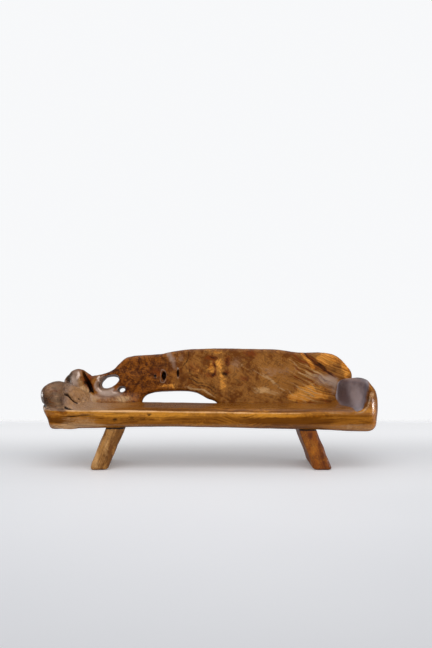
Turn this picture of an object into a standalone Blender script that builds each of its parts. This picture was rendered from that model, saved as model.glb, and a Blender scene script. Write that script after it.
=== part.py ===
"""Sculptural bench, hewn from tropical hardwood.

A seat trunk carries a carved arm at each end. A burl back slab leans in a rebate
along the trunk's rear edge, on pegged loose tenons, with dowels into both arms.
Two splayed slab legs stand in housings under the trunk. Their stub tenons are
spread by hidden wedges.

Metres, +Z up, +Y towards the back. The origin is on the floor under the middle.
"""

import math

import bmesh
import bpy
from mathutils import Matrix, Vector

# Seat trunk
TRUNK_LENGTH = 2.325
SEAT_DEPTH = 0.500
SEAT_HEIGHT = 0.430
SEAT_MIDDLE = 0.230
SEAT_DISH = 0.012
SEAT_FALL = 0.006
EDGE_BAND = 0.070
EDGE_FALL = 0.005
EDGE_DROP = 0.017
EDGE_SETBACK = 0.006
FRONT_EDGE_CREASE = 0.75
APRON_LEFT = 0.153
APRON_LEFT_X = -0.860
APRON_WAIST = 0.136
APRON_WAIST_X = -0.350
APRON_RIGHT = 0.170
APRON_BELLY = 0.040
APRON_ROUND = 0.028
LEFT_END_ROUND = 0.085
LEFT_UNDERCUT = 0.092
RIGHT_END_ROUND = 0.105
RIGHT_UNDERCUT = 0.010
END_ALLOWANCE = 0.016

# Arms, carved up from the trunk's two ends; each inner face runs diagonally
LEFT_ARM_HEIGHT = 0.610
LEFT_ARM_CROWN = 0.016
LEFT_ARM_NOSE = 0.045
LEFT_ARM_FRONT = 0.150
LEFT_ARM_REAR = 0.300
LEFT_ARM_SETBACK = 0.056
RIGHT_ARM_HEIGHT = 0.642
RIGHT_ARM_CROWN = 0.046
RIGHT_ARM_NOSE = 0.012
RIGHT_ARM_FALL = 0.015
RIGHT_ARM_FRONT = 0.085
RIGHT_ARM_REAR = 0.240
RIGHT_ARM_SETBACK = 0.058
ARM_FOOT_RUN = 0.034
ARM_COVE_RUN = 0.060

# Back slab, measured in its own leaning plane from the rebate upwards
BACK_LEAN = math.radians(12)
BACK_THICKNESS = 0.072
BACK_EDGE_ROUND = 0.024
BACK_SET = 0.420
BACK_HEIGHT = 0.411
BACK_LEFT_LAP = 0.205
BACK_RIGHT_LAP = 0.116
CORNER_WIDTH = 0.170
CORNER_HEIGHT = 0.200
CORNER_DROP = 0.027
CREST_X = -0.130
SHOULDER_HEIGHT = 0.371
SHOULDER_X = -0.440
NECK_HEIGHT = 0.202
NECK_X = -0.835
ROOT_HEIGHT = 0.242
ROOT_SIDE_HEIGHT = 0.132
ARCH_LEFT = -0.500
ARCH_RIGHT = 0.100
ARCH_HEIGHT = 0.096
REBATE_DEPTH = 0.010
LEDGE_WIDTH = 0.080

# Knots of the back slab's edge, as shares of the run and of the rise between two places
TOP_KNOTS = ((0.21, 0.00), (0.40, 0.74), (1.00, 1.00))
CREST_KNOTS = ((0.39, 0.37), (0.71, 0.85), (1.00, 1.00))
SHOULDER_KNOTS = ((0.42, 0.14), (0.56, 0.41), (0.70, 0.70), (1.00, 1.00))
ROOT_KNOTS = ((0.64, 0.23), (1.00, 1.00))
ARCH_KNOTS = ((0.017, 0.45), (0.125, 0.88), (0.283, 1.00), (0.683, 0.93), (0.858, 0.60))

# Root end of the back slab: a lobe with a heel, a deep fold, an eye hole and small hollows
LOBE_RADII = (0.088, 0.074, 0.066)
LOBE_INSET = 0.111
LOBE_LEVEL = 0.190
LOBE_CLEARANCE = 0.002
HEEL_RADII = (0.056, 0.062, 0.046)
HEEL_INSET = 0.053
FOLD_RADII = (0.015, 0.060, 0.100)
FOLD_X = -0.893
FOLD_LEVEL = 0.158
FOLD_TILT = math.radians(-26)
EYE_RADII = (0.062, 0.034)
EYE_X = -0.737
EYE_LEVEL = 0.166
EYE_TILT = math.radians(-25)
EYE_FLARE = 1.35
SMALL_EYE_RADII = (0.018, 0.012)
SMALL_EYE_X = -0.646
SMALL_EYE_LEVEL = 0.108
SMALL_EYE_TILT = math.radians(-20)
SMALL_EYE_FLARE = 1.90
KNOT_HOLE_RADII = (0.017, 0.046, 0.033)
KNOT_HOLE_X = -0.335
KNOT_HOLE_LEVEL = 0.207
SLIT_HOLE_RADII = (0.008, 0.040, 0.031)
SLIT_HOLE_X = -0.232
SLIT_HOLE_LEVEL = 0.228
HOLLOW_LIFT = 0.006

# Slab legs, splayed outwards, cut level at the floor
LEG_THICKNESS = 0.124
LEG_DEPTH = 0.420
LEG_SETBACK = 0.038
LEG_SPLAY = math.radians(18.5)
LEG_EDGE_ROUND = 0.026
LEG_BOW = 0.005
LEFT_FOOT_INSET = 0.4095
LEFT_LEG_TURN = math.radians(4)
RIGHT_FOOT_INSET = 0.3885
RIGHT_LEG_TURN = 0.0
FOOT_EDGE_ROUND = 0.012
HOUSING_DEPTH = 0.020

# Leg joints
LEG_TENON_THICKNESS = 0.052
LEG_TENON_WIDTH = 0.100
LEG_TENON_HEIGHT = 0.062
LEG_TENON_PITCH = 0.200
WEDGE_LENGTH = 0.044
WEDGE_THICK_END = 0.010
WEDGE_THIN_END = 0.004

# Back joints
LEFT_TENON_COUNT = 2
RIGHT_TENON_COUNT = 4
TENON_END_MARGIN = 0.050
TENON_WIDTH = 0.090
TENON_THICKNESS = 0.028
TENON_LENGTH = 0.120
PEG_RADIUS = 0.008
PEG_LEVEL = 0.034
PEG_PROUD = 0.001
PEG_STOP = 0.012
DOWEL_RADIUS = 0.010
DOWEL_REACH = 0.045
DOWEL_RISE = 0.036
DOWEL_INSET = 0.037
DOWEL_PITCH = 0.036

# Clearances
FIT_GAP = 0.0003
HOUSING_GAP = 0.0005
CUT_MARGIN = 0.020

# Smoothness
TRUNK_LEVELS = 2
SEAT_SPANS = 5
OUTLINE_STEPS = 4
PEG_SEGMENTS = 12
HOLLOW_SEGMENTS = 16
LOBE_SEGMENTS = 20

# Derived places
HALF_LENGTH = TRUNK_LENGTH / 2
BACK_REACH = BACK_HEIGHT * math.sin(BACK_LEAN) + BACK_THICKNESS * math.cos(BACK_LEAN)
FRONT_Y = -(BACK_SET + BACK_REACH) / 2
LEDGE_Z = SEAT_HEIGHT - SEAT_FALL - REBATE_DEPTH
BACK_LEFT = -HALF_LENGTH + LEFT_ARM_REAR - BACK_LEFT_LAP
BACK_RIGHT = HALF_LENGTH - RIGHT_ARM_REAR + BACK_RIGHT_LAP
LOBE_UNDERSIDE = LEDGE_Z + (LOBE_LEVEL - LOBE_RADII[2]) * math.cos(BACK_LEAN)
LEG_Y = FRONT_Y + LEG_SETBACK + LEG_DEPTH / 2
LEGS = {
    "left": (-HALF_LENGTH + LEFT_FOOT_INSET, 1, LEFT_LEG_TURN),
    "right": (HALF_LENGTH - RIGHT_FOOT_INSET, -1, RIGHT_LEG_TURN),
}


def clear_scene():
    for obj in list(bpy.data.objects):
        bpy.data.objects.remove(obj)


def new_collection(name):
    collection = bpy.data.collections.new(name)
    bpy.context.scene.collection.children.link(collection)
    return collection


def wood(name, colour, roughness):
    """Varnished or bare wood of one colour."""
    material = bpy.data.materials.new(name)
    material.use_nodes = True
    shader = material.node_tree.nodes["Principled BSDF"]
    shader.inputs["Base Color"].default_value = (*colour, 1)
    shader.inputs["Roughness"].default_value = roughness
    shader.inputs["Metallic"].default_value = 0
    return material


def add_mesh(name, mesh, collection, parent=None, material=None):
    """Links a mesh as an object; one without a material only cuts or joins."""
    obj = bpy.data.objects.new(name, mesh)
    collection.objects.link(obj)
    obj.parent = parent
    if material is None:
        obj.hide_render = True
        obj.display_type = "WIRE"
    else:
        mesh.materials.append(material)
    return obj


def add_object(name, bm, collection, parent=None, material=None):
    bmesh.ops.recalc_face_normals(bm, faces=bm.faces)
    mesh = bpy.data.meshes.new(name)
    bm.to_mesh(mesh)
    bm.free()
    return add_mesh(name, mesh, collection, parent, material)


def combine(obj, other, operation):
    modifier = obj.modifiers.new(f"{operation.lower()}_{other.name}", "BOOLEAN")
    modifier.operation = operation
    modifier.object = other


def between(start, end, share):
    return start + (end - start) * share


def box(low, high):
    low, high = Vector(low), Vector(high)
    bm = bmesh.new()
    place = Matrix.Translation((low + high) / 2) @ Matrix.Diagonal((*(high - low), 1))
    bmesh.ops.create_cube(bm, size=1, matrix=place)
    return bm


def bar(radius, start, end, x, level):
    """A round bar along the back's thickness, from start to end."""
    bm = bmesh.new()
    turn = Matrix.Rotation(math.radians(-90), 4, "X")
    place = Matrix.Translation((x, (start + end) / 2, level)) @ turn
    bmesh.ops.create_cone(
        bm, cap_ends=True, segments=PEG_SEGMENTS,
        radius1=radius, radius2=radius, depth=end - start, matrix=place,
    )
    return bm


def ellipsoid(radii, centre, tilt, segments):
    bm = bmesh.new()
    turn = Matrix.Rotation(tilt, 4, "Y")
    place = Matrix.Translation(centre) @ turn @ Matrix.Diagonal((*radii, 1))
    bmesh.ops.create_uvsphere(
        bm, u_segments=segments, v_segments=segments // 2, radius=1, matrix=place
    )
    return bm


def flared_bore(radii, flare, x, level, tilt):
    """A tapering oval bore through the back slab, wider at the front."""
    bm = bmesh.new()
    place = (
        Matrix.Translation((x, BACK_THICKNESS / 2, level))
        @ Matrix.Rotation(tilt, 4, "Y")
        @ Matrix.Diagonal((radii[0], 1, radii[1], 1))
        @ Matrix.Rotation(math.radians(-90), 4, "X")
    )
    bmesh.ops.create_cone(
        bm, cap_ends=True, segments=2 * HOLLOW_SEGMENTS, radius1=flare, radius2=1,
        depth=BACK_THICKNESS + 2 * CUT_MARGIN, matrix=place,
    )
    return bm


def apron(x):
    """Height of the trunk's front face at x, slimmest at the waist."""
    if x < APRON_WAIST_X:
        share = (APRON_WAIST_X - x) / (APRON_WAIST_X - APRON_LEFT_X)
        return between(APRON_WAIST, APRON_LEFT, min(1.0, share))
    return between(APRON_WAIST, APRON_RIGHT, (x - APRON_WAIST_X) / (HALF_LENGTH - APRON_WAIST_X))


def trunk_section(x_front, x_rear, crest, pinch=0.0, undercut=0.0):
    """Ten points round the trunk: up the front face, back over the crest, down and under.

    crest gives the five top heights, front to rear. pinch draws the ring in at an end,
    and undercut moves its lower points along the trunk.
    """
    bottom = SEAT_HEIGHT - apron((x_front + x_rear) / 2)
    rear = SEAT_DEPTH + CUT_MARGIN
    ring = [
        (APRON_ROUND, bottom),
        (0.0, bottom + APRON_BELLY),
        (EDGE_SETBACK, crest[0]),
        (EDGE_BAND, crest[1]),
        (SEAT_MIDDLE, crest[2]),
        (BACK_SET - CUT_MARGIN, crest[3]),
        (rear, crest[4]),
        (rear, bottom + APRON_BELLY),
        (SEAT_DEPTH - APRON_ROUND, bottom),
        (SEAT_MIDDLE, bottom),
    ]
    centre_z = (bottom + max(crest)) / 2
    points = []
    for depth, z in ring:
        across = depth / SEAT_DEPTH
        below = (centre_z - z) / (centre_z - bottom)
        x = between(x_front, x_rear, across) + undercut * max(0.0, below)
        y = FRONT_Y + depth + pinch * (1 - 2 * across)
        points.append(Vector((x, y, z + pinch * below)))
    return points


def lowered(crest, drop):
    """An arm's crest where it rounds over towards the trunk's end."""
    return [height - drop for height in crest]


def loft(sections):
    """Skins a row of rings that have the same number of points, with a cap at each end."""
    bm = bmesh.new()
    rings = [[bm.verts.new(point) for point in section] for section in sections]
    count = len(rings[0])
    for near, far in zip(rings, rings[1:]):
        for i in range(count):
            j = (i + 1) % count
            bm.faces.new((near[i], near[j], far[j], far[i]))
    bm.faces.new(rings[0])
    bm.faces.new(rings[-1])
    return bm, rings


def trunk_sections():
    """The trunk's rings from its left end to its right end."""
    seat_rear = SEAT_HEIGHT - SEAT_FALL
    seat_band = SEAT_HEIGHT - EDGE_FALL
    seat_middle = SEAT_HEIGHT - SEAT_DISH
    seat = [SEAT_HEIGHT - EDGE_DROP, seat_band, seat_middle, seat_rear, seat_rear]
    left_rear = LOBE_UNDERSIDE - LOBE_CLEARANCE
    left_nose = LEFT_ARM_HEIGHT - LEFT_ARM_NOSE
    left_arm = [left_nose, LEFT_ARM_HEIGHT, LEFT_ARM_HEIGHT, left_rear, left_rear]
    left_crown = lowered(left_arm, LEFT_ARM_CROWN)
    right_rear = RIGHT_ARM_HEIGHT - RIGHT_ARM_FALL
    right_nose = RIGHT_ARM_HEIGHT - RIGHT_ARM_NOSE
    right_arm = [right_nose, RIGHT_ARM_HEIGHT, RIGHT_ARM_HEIGHT, right_rear, right_rear]
    right_crown = lowered(right_arm, RIGHT_ARM_CROWN)
    left_end = -HALF_LENGTH - END_ALLOWANCE
    left_outer = left_end + LEFT_ARM_SETBACK
    left_inner = (-HALF_LENGTH + LEFT_ARM_FRONT, -HALF_LENGTH + LEFT_ARM_REAR)
    left_foot = [x + ARM_FOOT_RUN for x in left_inner]
    left_cove = [x + ARM_COVE_RUN for x in left_foot]
    right_end = HALF_LENGTH + END_ALLOWANCE
    right_outer = right_end - RIGHT_ARM_SETBACK
    right_inner = (HALF_LENGTH - RIGHT_ARM_FRONT, HALF_LENGTH - RIGHT_ARM_REAR)
    right_foot = [x - ARM_FOOT_RUN for x in right_inner]
    right_cove = [x - ARM_COVE_RUN for x in right_foot]
    sections = [
        trunk_section(left_end, left_end, left_crown, LEFT_END_ROUND, LEFT_UNDERCUT),
        trunk_section(left_outer, left_outer, left_crown, 0.0, LEFT_UNDERCUT / 2),
        trunk_section(*left_inner, left_arm),
        trunk_section(*left_foot, seat),
        trunk_section(*left_cove, seat),
    ]
    for step in range(1, SEAT_SPANS):
        x = between(left_cove[1], right_cove[1], step / SEAT_SPANS)
        sections.append(trunk_section(x, x, seat))
    sections += [
        trunk_section(*right_cove, seat),
        trunk_section(*right_foot, seat),
        trunk_section(*right_inner, right_arm),
        trunk_section(right_outer, right_outer, right_crown, 0.0, -RIGHT_UNDERCUT / 2),
        trunk_section(right_end, right_end, right_crown, RIGHT_END_ROUND, -RIGHT_UNDERCUT),
    ]
    return sections


def make_trunk(collection, cutters, frame, material):
    """The trunk with its arms, a rebate for the back, and a rear face parallel to the back."""
    bm, rings = loft(trunk_sections())
    crease = bm.edges.layers.float.new("crease_edge")
    front_edge = [ring[2] for ring in rings[2:-2]]
    for near, far in zip(front_edge, front_edge[1:]):
        bm.edges.get((near, far))[crease] = FRONT_EDGE_CREASE
    trunk = add_object("seat_trunk", bm, collection, None, material)
    smooth = trunk.modifiers.new("rounding", "SUBSURF")
    smooth.levels = smooth.render_levels = TRUNK_LEVELS
    far = TRUNK_LENGTH
    rebate = box((-far, -FIT_GAP, 0), (far, far, far))
    rear_trim = box((-far, LEDGE_WIDTH, -far), (far, far, far))
    combine(trunk, add_object("rebate", rebate, cutters, frame), "DIFFERENCE")
    combine(trunk, add_object("rear_trim", rear_trim, cutters, frame), "DIFFERENCE")
    return trunk


def knots(start, end, shares):
    """Smooth outline points between two places."""
    points = []
    for run, rise in shares:
        points.append((between(start[0], end[0], run), between(start[1], end[1], rise), True))
    return points


def back_outline():
    """The back slab's edge as (x, height, smooth), anticlockwise from its lower right corner."""
    foot = -2 * BACK_EDGE_ROUND
    crown = (BACK_RIGHT - CORNER_WIDTH, BACK_HEIGHT - CORNER_DROP)
    crest = (CREST_X, BACK_HEIGHT)
    shoulder = (SHOULDER_X, SHOULDER_HEIGHT)
    neck = (NECK_X, NECK_HEIGHT)
    root = (between(NECK_X, BACK_LEFT, 0.5), ROOT_HEIGHT)
    points = [(BACK_RIGHT, foot, False)]
    for step in range(4):
        turn = math.radians(30 * step)
        x = crown[0] + CORNER_WIDTH * math.cos(turn)
        points.append((x, crown[1] - CORNER_HEIGHT * (1 - math.sin(turn)), True))
    points += knots(crown, crest, TOP_KNOTS)
    points += knots(crest, shoulder, CREST_KNOTS)
    points += knots(shoulder, neck, SHOULDER_KNOTS)
    points.append((*root, True))
    points += knots(root, (BACK_LEFT, ROOT_SIDE_HEIGHT), ROOT_KNOTS)
    points += [(BACK_LEFT, foot, False), (ARCH_LEFT, foot, False)]
    points += knots((ARCH_LEFT, 0), (ARCH_RIGHT, ARCH_HEIGHT), ARCH_KNOTS)
    points.append((ARCH_RIGHT, foot, False))
    return points


def board_mesh(name, points):
    """A flat board with rounded edges, standing in the XZ plane, front face at y = 0."""
    curve = bpy.data.curves.new(name, "CURVE")
    curve.dimensions = "2D"
    curve.fill_mode = "BOTH"
    curve.extrude = BACK_THICKNESS / 2 - BACK_EDGE_ROUND
    curve.bevel_depth = BACK_EDGE_ROUND
    curve.bevel_resolution = 2
    curve.offset = -BACK_EDGE_ROUND
    curve.resolution_u = OUTLINE_STEPS
    spline = curve.splines.new("BEZIER")
    spline.use_cyclic_u = True
    spline.bezier_points.add(len(points) - 1)
    for knot, (x, height, _) in zip(spline.bezier_points, points):
        knot.co = (x, height, 0)
    for knot, (_, _, smooth) in zip(spline.bezier_points, points):
        knot.handle_left_type = knot.handle_right_type = "AUTO" if smooth else "VECTOR"
    obj = bpy.data.objects.new(name, curve)
    bpy.context.scene.collection.objects.link(obj)
    stand = Matrix.Rotation(math.radians(90), 4, "X")
    obj.matrix_world = Matrix.Translation((0, BACK_THICKNESS / 2, 0)) @ stand
    bpy.context.view_layer.update()
    graph = bpy.context.evaluated_depsgraph_get()
    mesh = bpy.data.meshes.new_from_object(obj.evaluated_get(graph))
    mesh.transform(obj.matrix_world)
    bpy.data.objects.remove(obj)
    bm = bmesh.new()
    bm.from_mesh(mesh)
    bmesh.ops.remove_doubles(bm, verts=bm.verts, dist=1e-5)
    bmesh.ops.recalc_face_normals(bm, faces=bm.faces)
    bm.to_mesh(mesh)
    bm.free()
    return mesh


def make_back(collection, cutters, frame, material):
    """The back slab: a board with a root lobe and its heel grown on, then its holes and hollows."""
    mesh = board_mesh("back_outline", back_outline())
    back = add_mesh("back_slab", mesh, collection, frame, material)
    lobe_place = (BACK_LEFT + LOBE_INSET, BACK_THICKNESS / 2, LOBE_LEVEL)
    lobe = ellipsoid(LOBE_RADII, lobe_place, 0.0, LOBE_SEGMENTS)
    heel_level = LOBE_LEVEL - LOBE_RADII[2] + HEEL_RADII[2]
    heel_place = (BACK_LEFT + HEEL_INSET, BACK_THICKNESS / 2, heel_level)
    heel = ellipsoid(HEEL_RADII, heel_place, 0.0, LOBE_SEGMENTS)
    combine(back, add_object("root_lobe", lobe, cutters, frame), "UNION")
    combine(back, add_object("root_heel", heel, cutters, frame), "UNION")
    far = TRUNK_LENGTH
    hollows = {
        "fold": ellipsoid(
            FOLD_RADII, (FOLD_X, -HOLLOW_LIFT, FOLD_LEVEL), FOLD_TILT, HOLLOW_SEGMENTS
        ),
        "knot_hole": ellipsoid(
            KNOT_HOLE_RADII, (KNOT_HOLE_X, -HOLLOW_LIFT, KNOT_HOLE_LEVEL), 0.0, HOLLOW_SEGMENTS
        ),
        "slit_hole": ellipsoid(
            SLIT_HOLE_RADII, (SLIT_HOLE_X, -HOLLOW_LIFT, SLIT_HOLE_LEVEL), 0.0, HOLLOW_SEGMENTS
        ),
        "eye": flared_bore(EYE_RADII, EYE_FLARE, EYE_X, EYE_LEVEL, EYE_TILT),
        "small_eye": flared_bore(
            SMALL_EYE_RADII, SMALL_EYE_FLARE, SMALL_EYE_X, SMALL_EYE_LEVEL, SMALL_EYE_TILT
        ),
        "foot_cut": box((-far, -far, -far), (far, far, FIT_GAP)),
    }
    for name, bm in hollows.items():
        combine(back, add_object(name, bm, cutters, frame), "DIFFERENCE")
    return back


def tenon_places():
    """Where the back's loose tenons stand, evenly along each foot of the slab."""
    places = []
    feet = ((BACK_LEFT, ARCH_LEFT, LEFT_TENON_COUNT), (ARCH_RIGHT, BACK_RIGHT, RIGHT_TENON_COUNT))
    for start, end, count in feet:
        first, last = start + TENON_END_MARGIN, end - TENON_END_MARGIN
        places += [between(first, last, (step + 0.5) / count) for step in range(count)]
    return places


def tenon_block(x, gap):
    half = Vector((TENON_WIDTH / 2 + gap, TENON_THICKNESS / 2 + gap, TENON_LENGTH / 2 + gap))
    centre = Vector((x, BACK_THICKNESS / 2, 0))
    return box(centre - half, centre + half)


def make_back_joints(trunk, back, collection, cutters, frame, material):
    """Loose tenons between back and trunk, each with a peg above and below the ledge."""
    pegs = {"back": (PEG_LEVEL, BACK_THICKNESS, back), "seat": (-PEG_LEVEL, LEDGE_WIDTH, trunk)}
    for number, x in enumerate(tenon_places(), 1):
        tenon = add_object(f"back_tenon_{number}", tenon_block(x, 0), collection, frame, material)
        mortise = add_object(f"back_mortise_{number}", tenon_block(x, FIT_GAP), cutters, frame)
        combine(back, mortise, "DIFFERENCE")
        combine(trunk, mortise, "DIFFERENCE")
        for place, (level, face, host) in pegs.items():
            name = f"{place}_peg_{number}"
            peg = bar(PEG_RADIUS, PEG_STOP, face + PEG_PROUD, x, level)
            add_object(name, peg, collection, frame, material)
            bore = bar(PEG_RADIUS + FIT_GAP, PEG_STOP - FIT_GAP, face + CUT_MARGIN, x, level)
            cutter = add_object(f"{name}_bore", bore, cutters, frame)
            combine(host, cutter, "DIFFERENCE")
            combine(tenon, cutter, "DIFFERENCE")


def make_arm_dowels(trunk, back, collection, cutters, frame, material):
    """Dowels driven from behind through the back slab into each arm, above the tenons."""
    level = TENON_LENGTH / 2 + DOWEL_RISE
    for side, end, inward in (("left", BACK_LEFT, 1), ("right", BACK_RIGHT, -1)):
        for place, inset in (("outer", DOWEL_INSET), ("inner", DOWEL_INSET + DOWEL_PITCH)):
            name = f"{side}_{place}_arm_dowel"
            x = end + inward * inset
            dowel = bar(DOWEL_RADIUS, -DOWEL_REACH, BACK_THICKNESS + PEG_PROUD, x, level)
            add_object(name, dowel, collection, frame, material)
            radius, start = DOWEL_RADIUS + FIT_GAP, -DOWEL_REACH - FIT_GAP
            bore = bar(radius, start, BACK_THICKNESS + CUT_MARGIN, x, level)
            cutter = add_object(f"{name}_bore", bore, cutters, frame)
            combine(trunk, cutter, "DIFFERENCE")
            combine(back, cutter, "DIFFERENCE")


def leg_block(low, top, gap):
    """An upright slab with rounded vertical edges, centred on x = y = 0."""
    half = Vector((LEG_THICKNESS / 2 + gap, LEG_DEPTH / 2 + gap, 0))
    bm = box(Vector((0, 0, low)) - half, Vector((0, 0, top)) + half)
    upright = [e for e in bm.edges if e.verts[0].co.z != e.verts[1].co.z]
    bmesh.ops.bevel(
        bm, geom=upright, offset=LEG_EDGE_ROUND, segments=3, profile=0.5, affect="EDGES"
    )
    return bm


def splay(bm, foot_x, inward, turn):
    """Turns a leg or its housing, shears it inwards as it rises and sets it over its foot."""
    bmesh.ops.rotate(bm, verts=bm.verts, matrix=Matrix.Rotation(turn, 3, "Z"))
    for vert in bm.verts:
        vert.co.x += inward * math.tan(LEG_SPLAY) * vert.co.z
    bmesh.ops.translate(bm, verts=bm.verts, vec=(foot_x, LEG_Y, 0))
    return bm


def leg_shape(foot_x, inward, turn, top):
    """A slab leg: eased round the floor, and bowed a little outwards."""
    bm = leg_block(0, top, 0)
    rim = [e for e in bm.edges if max(v.co.z for v in e.verts) == 0]
    bmesh.ops.bevel(
        bm, geom=rim, offset=FOOT_EDGE_ROUND, segments=2, profile=0.5, affect="EDGES"
    )
    exposed = top - 2 * HOUSING_DEPTH
    for share in (0.33, 0.67, 1.0):
        bmesh.ops.bisect_plane(
            bm, geom=bm.verts[:] + bm.edges[:] + bm.faces[:],
            plane_co=(0, 0, share * exposed), plane_no=(0, 0, 1),
        )
    for vert in bm.verts:
        share = min(1, vert.co.z / exposed)
        vert.co.x -= inward * 4 * LEG_BOW * share * (1 - share)
    return splay(bm, foot_x, inward, turn)


def wedge_shape(x, y, top, gap, above):
    """A wedge across a stub tenon, thick end up."""
    half_width = LEG_TENON_WIDTH / 2 + above
    low = (x - WEDGE_THICK_END, y - half_width, top - WEDGE_LENGTH - gap)
    bm = box(low, (x + WEDGE_THICK_END, y + half_width, top + above))
    slope = (WEDGE_THICK_END - WEDGE_THIN_END) / WEDGE_LENGTH
    for vert in bm.verts:
        rise = vert.co.z - (top - WEDGE_LENGTH)
        half = (WEDGE_THIN_END + slope * rise) / 2 + gap
        vert.co.x = x + math.copysign(half, vert.co.x - x)
    return bm


def make_leg(side, trunk, collection, cutters, material, wedge_material):
    """A leg with two stub tenons, each kerfed for a wedge, and its housing in the trunk."""
    foot_x, inward, turn = LEGS[side]
    top = SEAT_HEIGHT - apron(foot_x) + HOUSING_DEPTH
    shape = leg_shape(foot_x, inward, turn, top)
    leg = add_object(f"{side}_leg", shape, collection, None, material)
    housing = splay(leg_block(top / 2, top + FIT_GAP, HOUSING_GAP), foot_x, inward, turn)
    combine(trunk, add_object(f"{side}_housing", housing, cutters), "DIFFERENCE")
    x = foot_x + inward * math.tan(LEG_SPLAY) * top
    tip = top + LEG_TENON_HEIGHT
    half = Vector((LEG_TENON_THICKNESS / 2, LEG_TENON_WIDTH / 2, 0))
    air = Vector((FIT_GAP, FIT_GAP, FIT_GAP))
    for end, sign in (("front", -1), ("rear", 1)):
        name = f"{side}_{end}"
        y = LEG_Y + sign * LEG_TENON_PITCH / 2
        low = Vector((x, y, top - CUT_MARGIN)) - half
        high = Vector((x, y, tip)) + half
        combine(leg, add_object(f"{name}_stub", box(low, high), cutters), "UNION")
        mortise = add_object(f"{name}_mortise", box(low - air, high + air), cutters)
        combine(trunk, mortise, "DIFFERENCE")
        kerf = wedge_shape(x, y, tip, FIT_GAP, CUT_MARGIN)
        combine(leg, add_object(f"{name}_kerf", kerf, cutters), "DIFFERENCE")
        wedge = wedge_shape(x, y, tip, 0, 0)
        add_object(f"{name}_wedge", wedge, collection, None, wedge_material)


def main():
    clear_scene()
    parts = new_collection("sculptural_bench")
    cutters = new_collection("cutters")
    trunk_wood = wood("trunk_wood", (0.30, 0.13, 0.035), 0.28)
    burl_wood = wood("burl_wood", (0.20, 0.085, 0.028), 0.30)
    leg_wood = wood("leg_wood", (0.25, 0.105, 0.030), 0.35)
    joint_wood = wood("joint_wood", (0.16, 0.070, 0.025), 0.50)
    frame = bpy.data.objects.new("back_frame", None)
    parts.objects.link(frame)
    frame.location = (0, FRONT_Y + BACK_SET, LEDGE_Z)
    frame.rotation_euler = (-BACK_LEAN, 0, 0)
    trunk = make_trunk(parts, cutters, frame, trunk_wood)
    back = make_back(parts, cutters, frame, burl_wood)
    make_back_joints(trunk, back, parts, cutters, frame, joint_wood)
    make_arm_dowels(trunk, back, parts, cutters, frame, joint_wood)
    for side in LEGS:
        make_leg(side, trunk, parts, cutters, leg_wood, joint_wood)


main()
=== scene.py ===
"""Looks of the sculptural bench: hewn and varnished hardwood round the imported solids."""

import math

import bmesh
import bpy
import numpy as np
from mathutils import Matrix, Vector, noise


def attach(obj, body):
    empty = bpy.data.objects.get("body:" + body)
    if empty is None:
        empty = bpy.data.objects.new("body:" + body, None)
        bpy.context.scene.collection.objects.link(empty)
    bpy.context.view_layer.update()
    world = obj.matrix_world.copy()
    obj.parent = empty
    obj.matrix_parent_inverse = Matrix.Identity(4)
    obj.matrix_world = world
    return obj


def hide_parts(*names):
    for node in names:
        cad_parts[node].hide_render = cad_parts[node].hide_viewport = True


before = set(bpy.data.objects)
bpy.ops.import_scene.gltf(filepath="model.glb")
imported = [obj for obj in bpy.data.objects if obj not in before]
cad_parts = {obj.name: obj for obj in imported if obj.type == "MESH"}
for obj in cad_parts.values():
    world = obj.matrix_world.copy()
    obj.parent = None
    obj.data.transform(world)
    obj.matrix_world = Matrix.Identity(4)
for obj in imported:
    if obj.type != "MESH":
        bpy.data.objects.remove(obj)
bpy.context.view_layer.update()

# Seat trunk: one hardwood log with the seat dished into it and an arm carved up at each end.
# It is hewn with an adze, sanded and varnished, so its soft dents and cracks stay under the gloss.
# A fine copy of the solid is smoothed, carved and painted point by point.
TRUNK_VOXEL = 0.0075
BACK_LEAN = math.radians(12)
BACK_FOOT = Vector((0, 0.13206, 0.414))
BACK_REARWARD = Vector((0, math.cos(BACK_LEAN), -math.sin(BACK_LEAN)))
BACK_UP = Vector((0, math.sin(BACK_LEAN), math.cos(BACK_LEAN)))
PLUG_SETBACK = 0.002
SLAB_THICKNESS = 0.072
LEDGE_WIDTH = 0.080


def plane(depth, height, normal):
    """A cutting plane given in the back slab's leaning frame."""
    return BACK_FOOT + depth * BACK_REARWARD + height * BACK_UP, normal


def fine_copy(node, plugs, voxel):
    """A node's solid with its joint cavities plugged by the pieces in them, in small even quads."""
    whole = bmesh.new()
    whole.from_mesh(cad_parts[node].data)
    mesh = bpy.data.meshes.new(node)
    for plug, planes in plugs.items():
        piece = bmesh.new()
        piece.from_mesh(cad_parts[plug].data)
        bmesh.ops.remove_doubles(piece, verts=piece.verts, dist=1e-5)
        for place, normal in planes:
            cut = bmesh.ops.bisect_plane(
                piece, geom=piece.verts[:] + piece.edges[:] + piece.faces[:],
                plane_co=place, plane_no=normal, clear_outer=True,
            )
            rim = [part for part in cut["geom_cut"] if isinstance(part, bmesh.types.BMEdge)]
            bmesh.ops.edgeloop_fill(piece, edges=rim)
        piece.to_mesh(mesh)
        whole.from_mesh(mesh)
        piece.free()
    bmesh.ops.remove_doubles(whole, verts=whole.verts, dist=1e-5)
    whole.to_mesh(mesh)
    whole.free()
    rough = bpy.data.objects.new(node, mesh)
    bpy.context.scene.collection.objects.link(rough)
    remesh = rough.modifiers.new("even_quads", "REMESH")
    remesh.mode = "VOXEL"
    remesh.voxel_size = voxel
    graph = bpy.context.evaluated_depsgraph_get()
    fine = bpy.data.meshes.new_from_object(rough.evaluated_get(graph))
    bpy.data.objects.remove(rough)
    return fine


def points_of(mesh):
    flat = np.empty(3 * len(mesh.vertices))
    mesh.vertices.foreach_get("co", flat)
    return flat.reshape(-1, 3)


def set_points(mesh, points):
    mesh.vertices.foreach_set("co", points.ravel())
    mesh.update()


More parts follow.
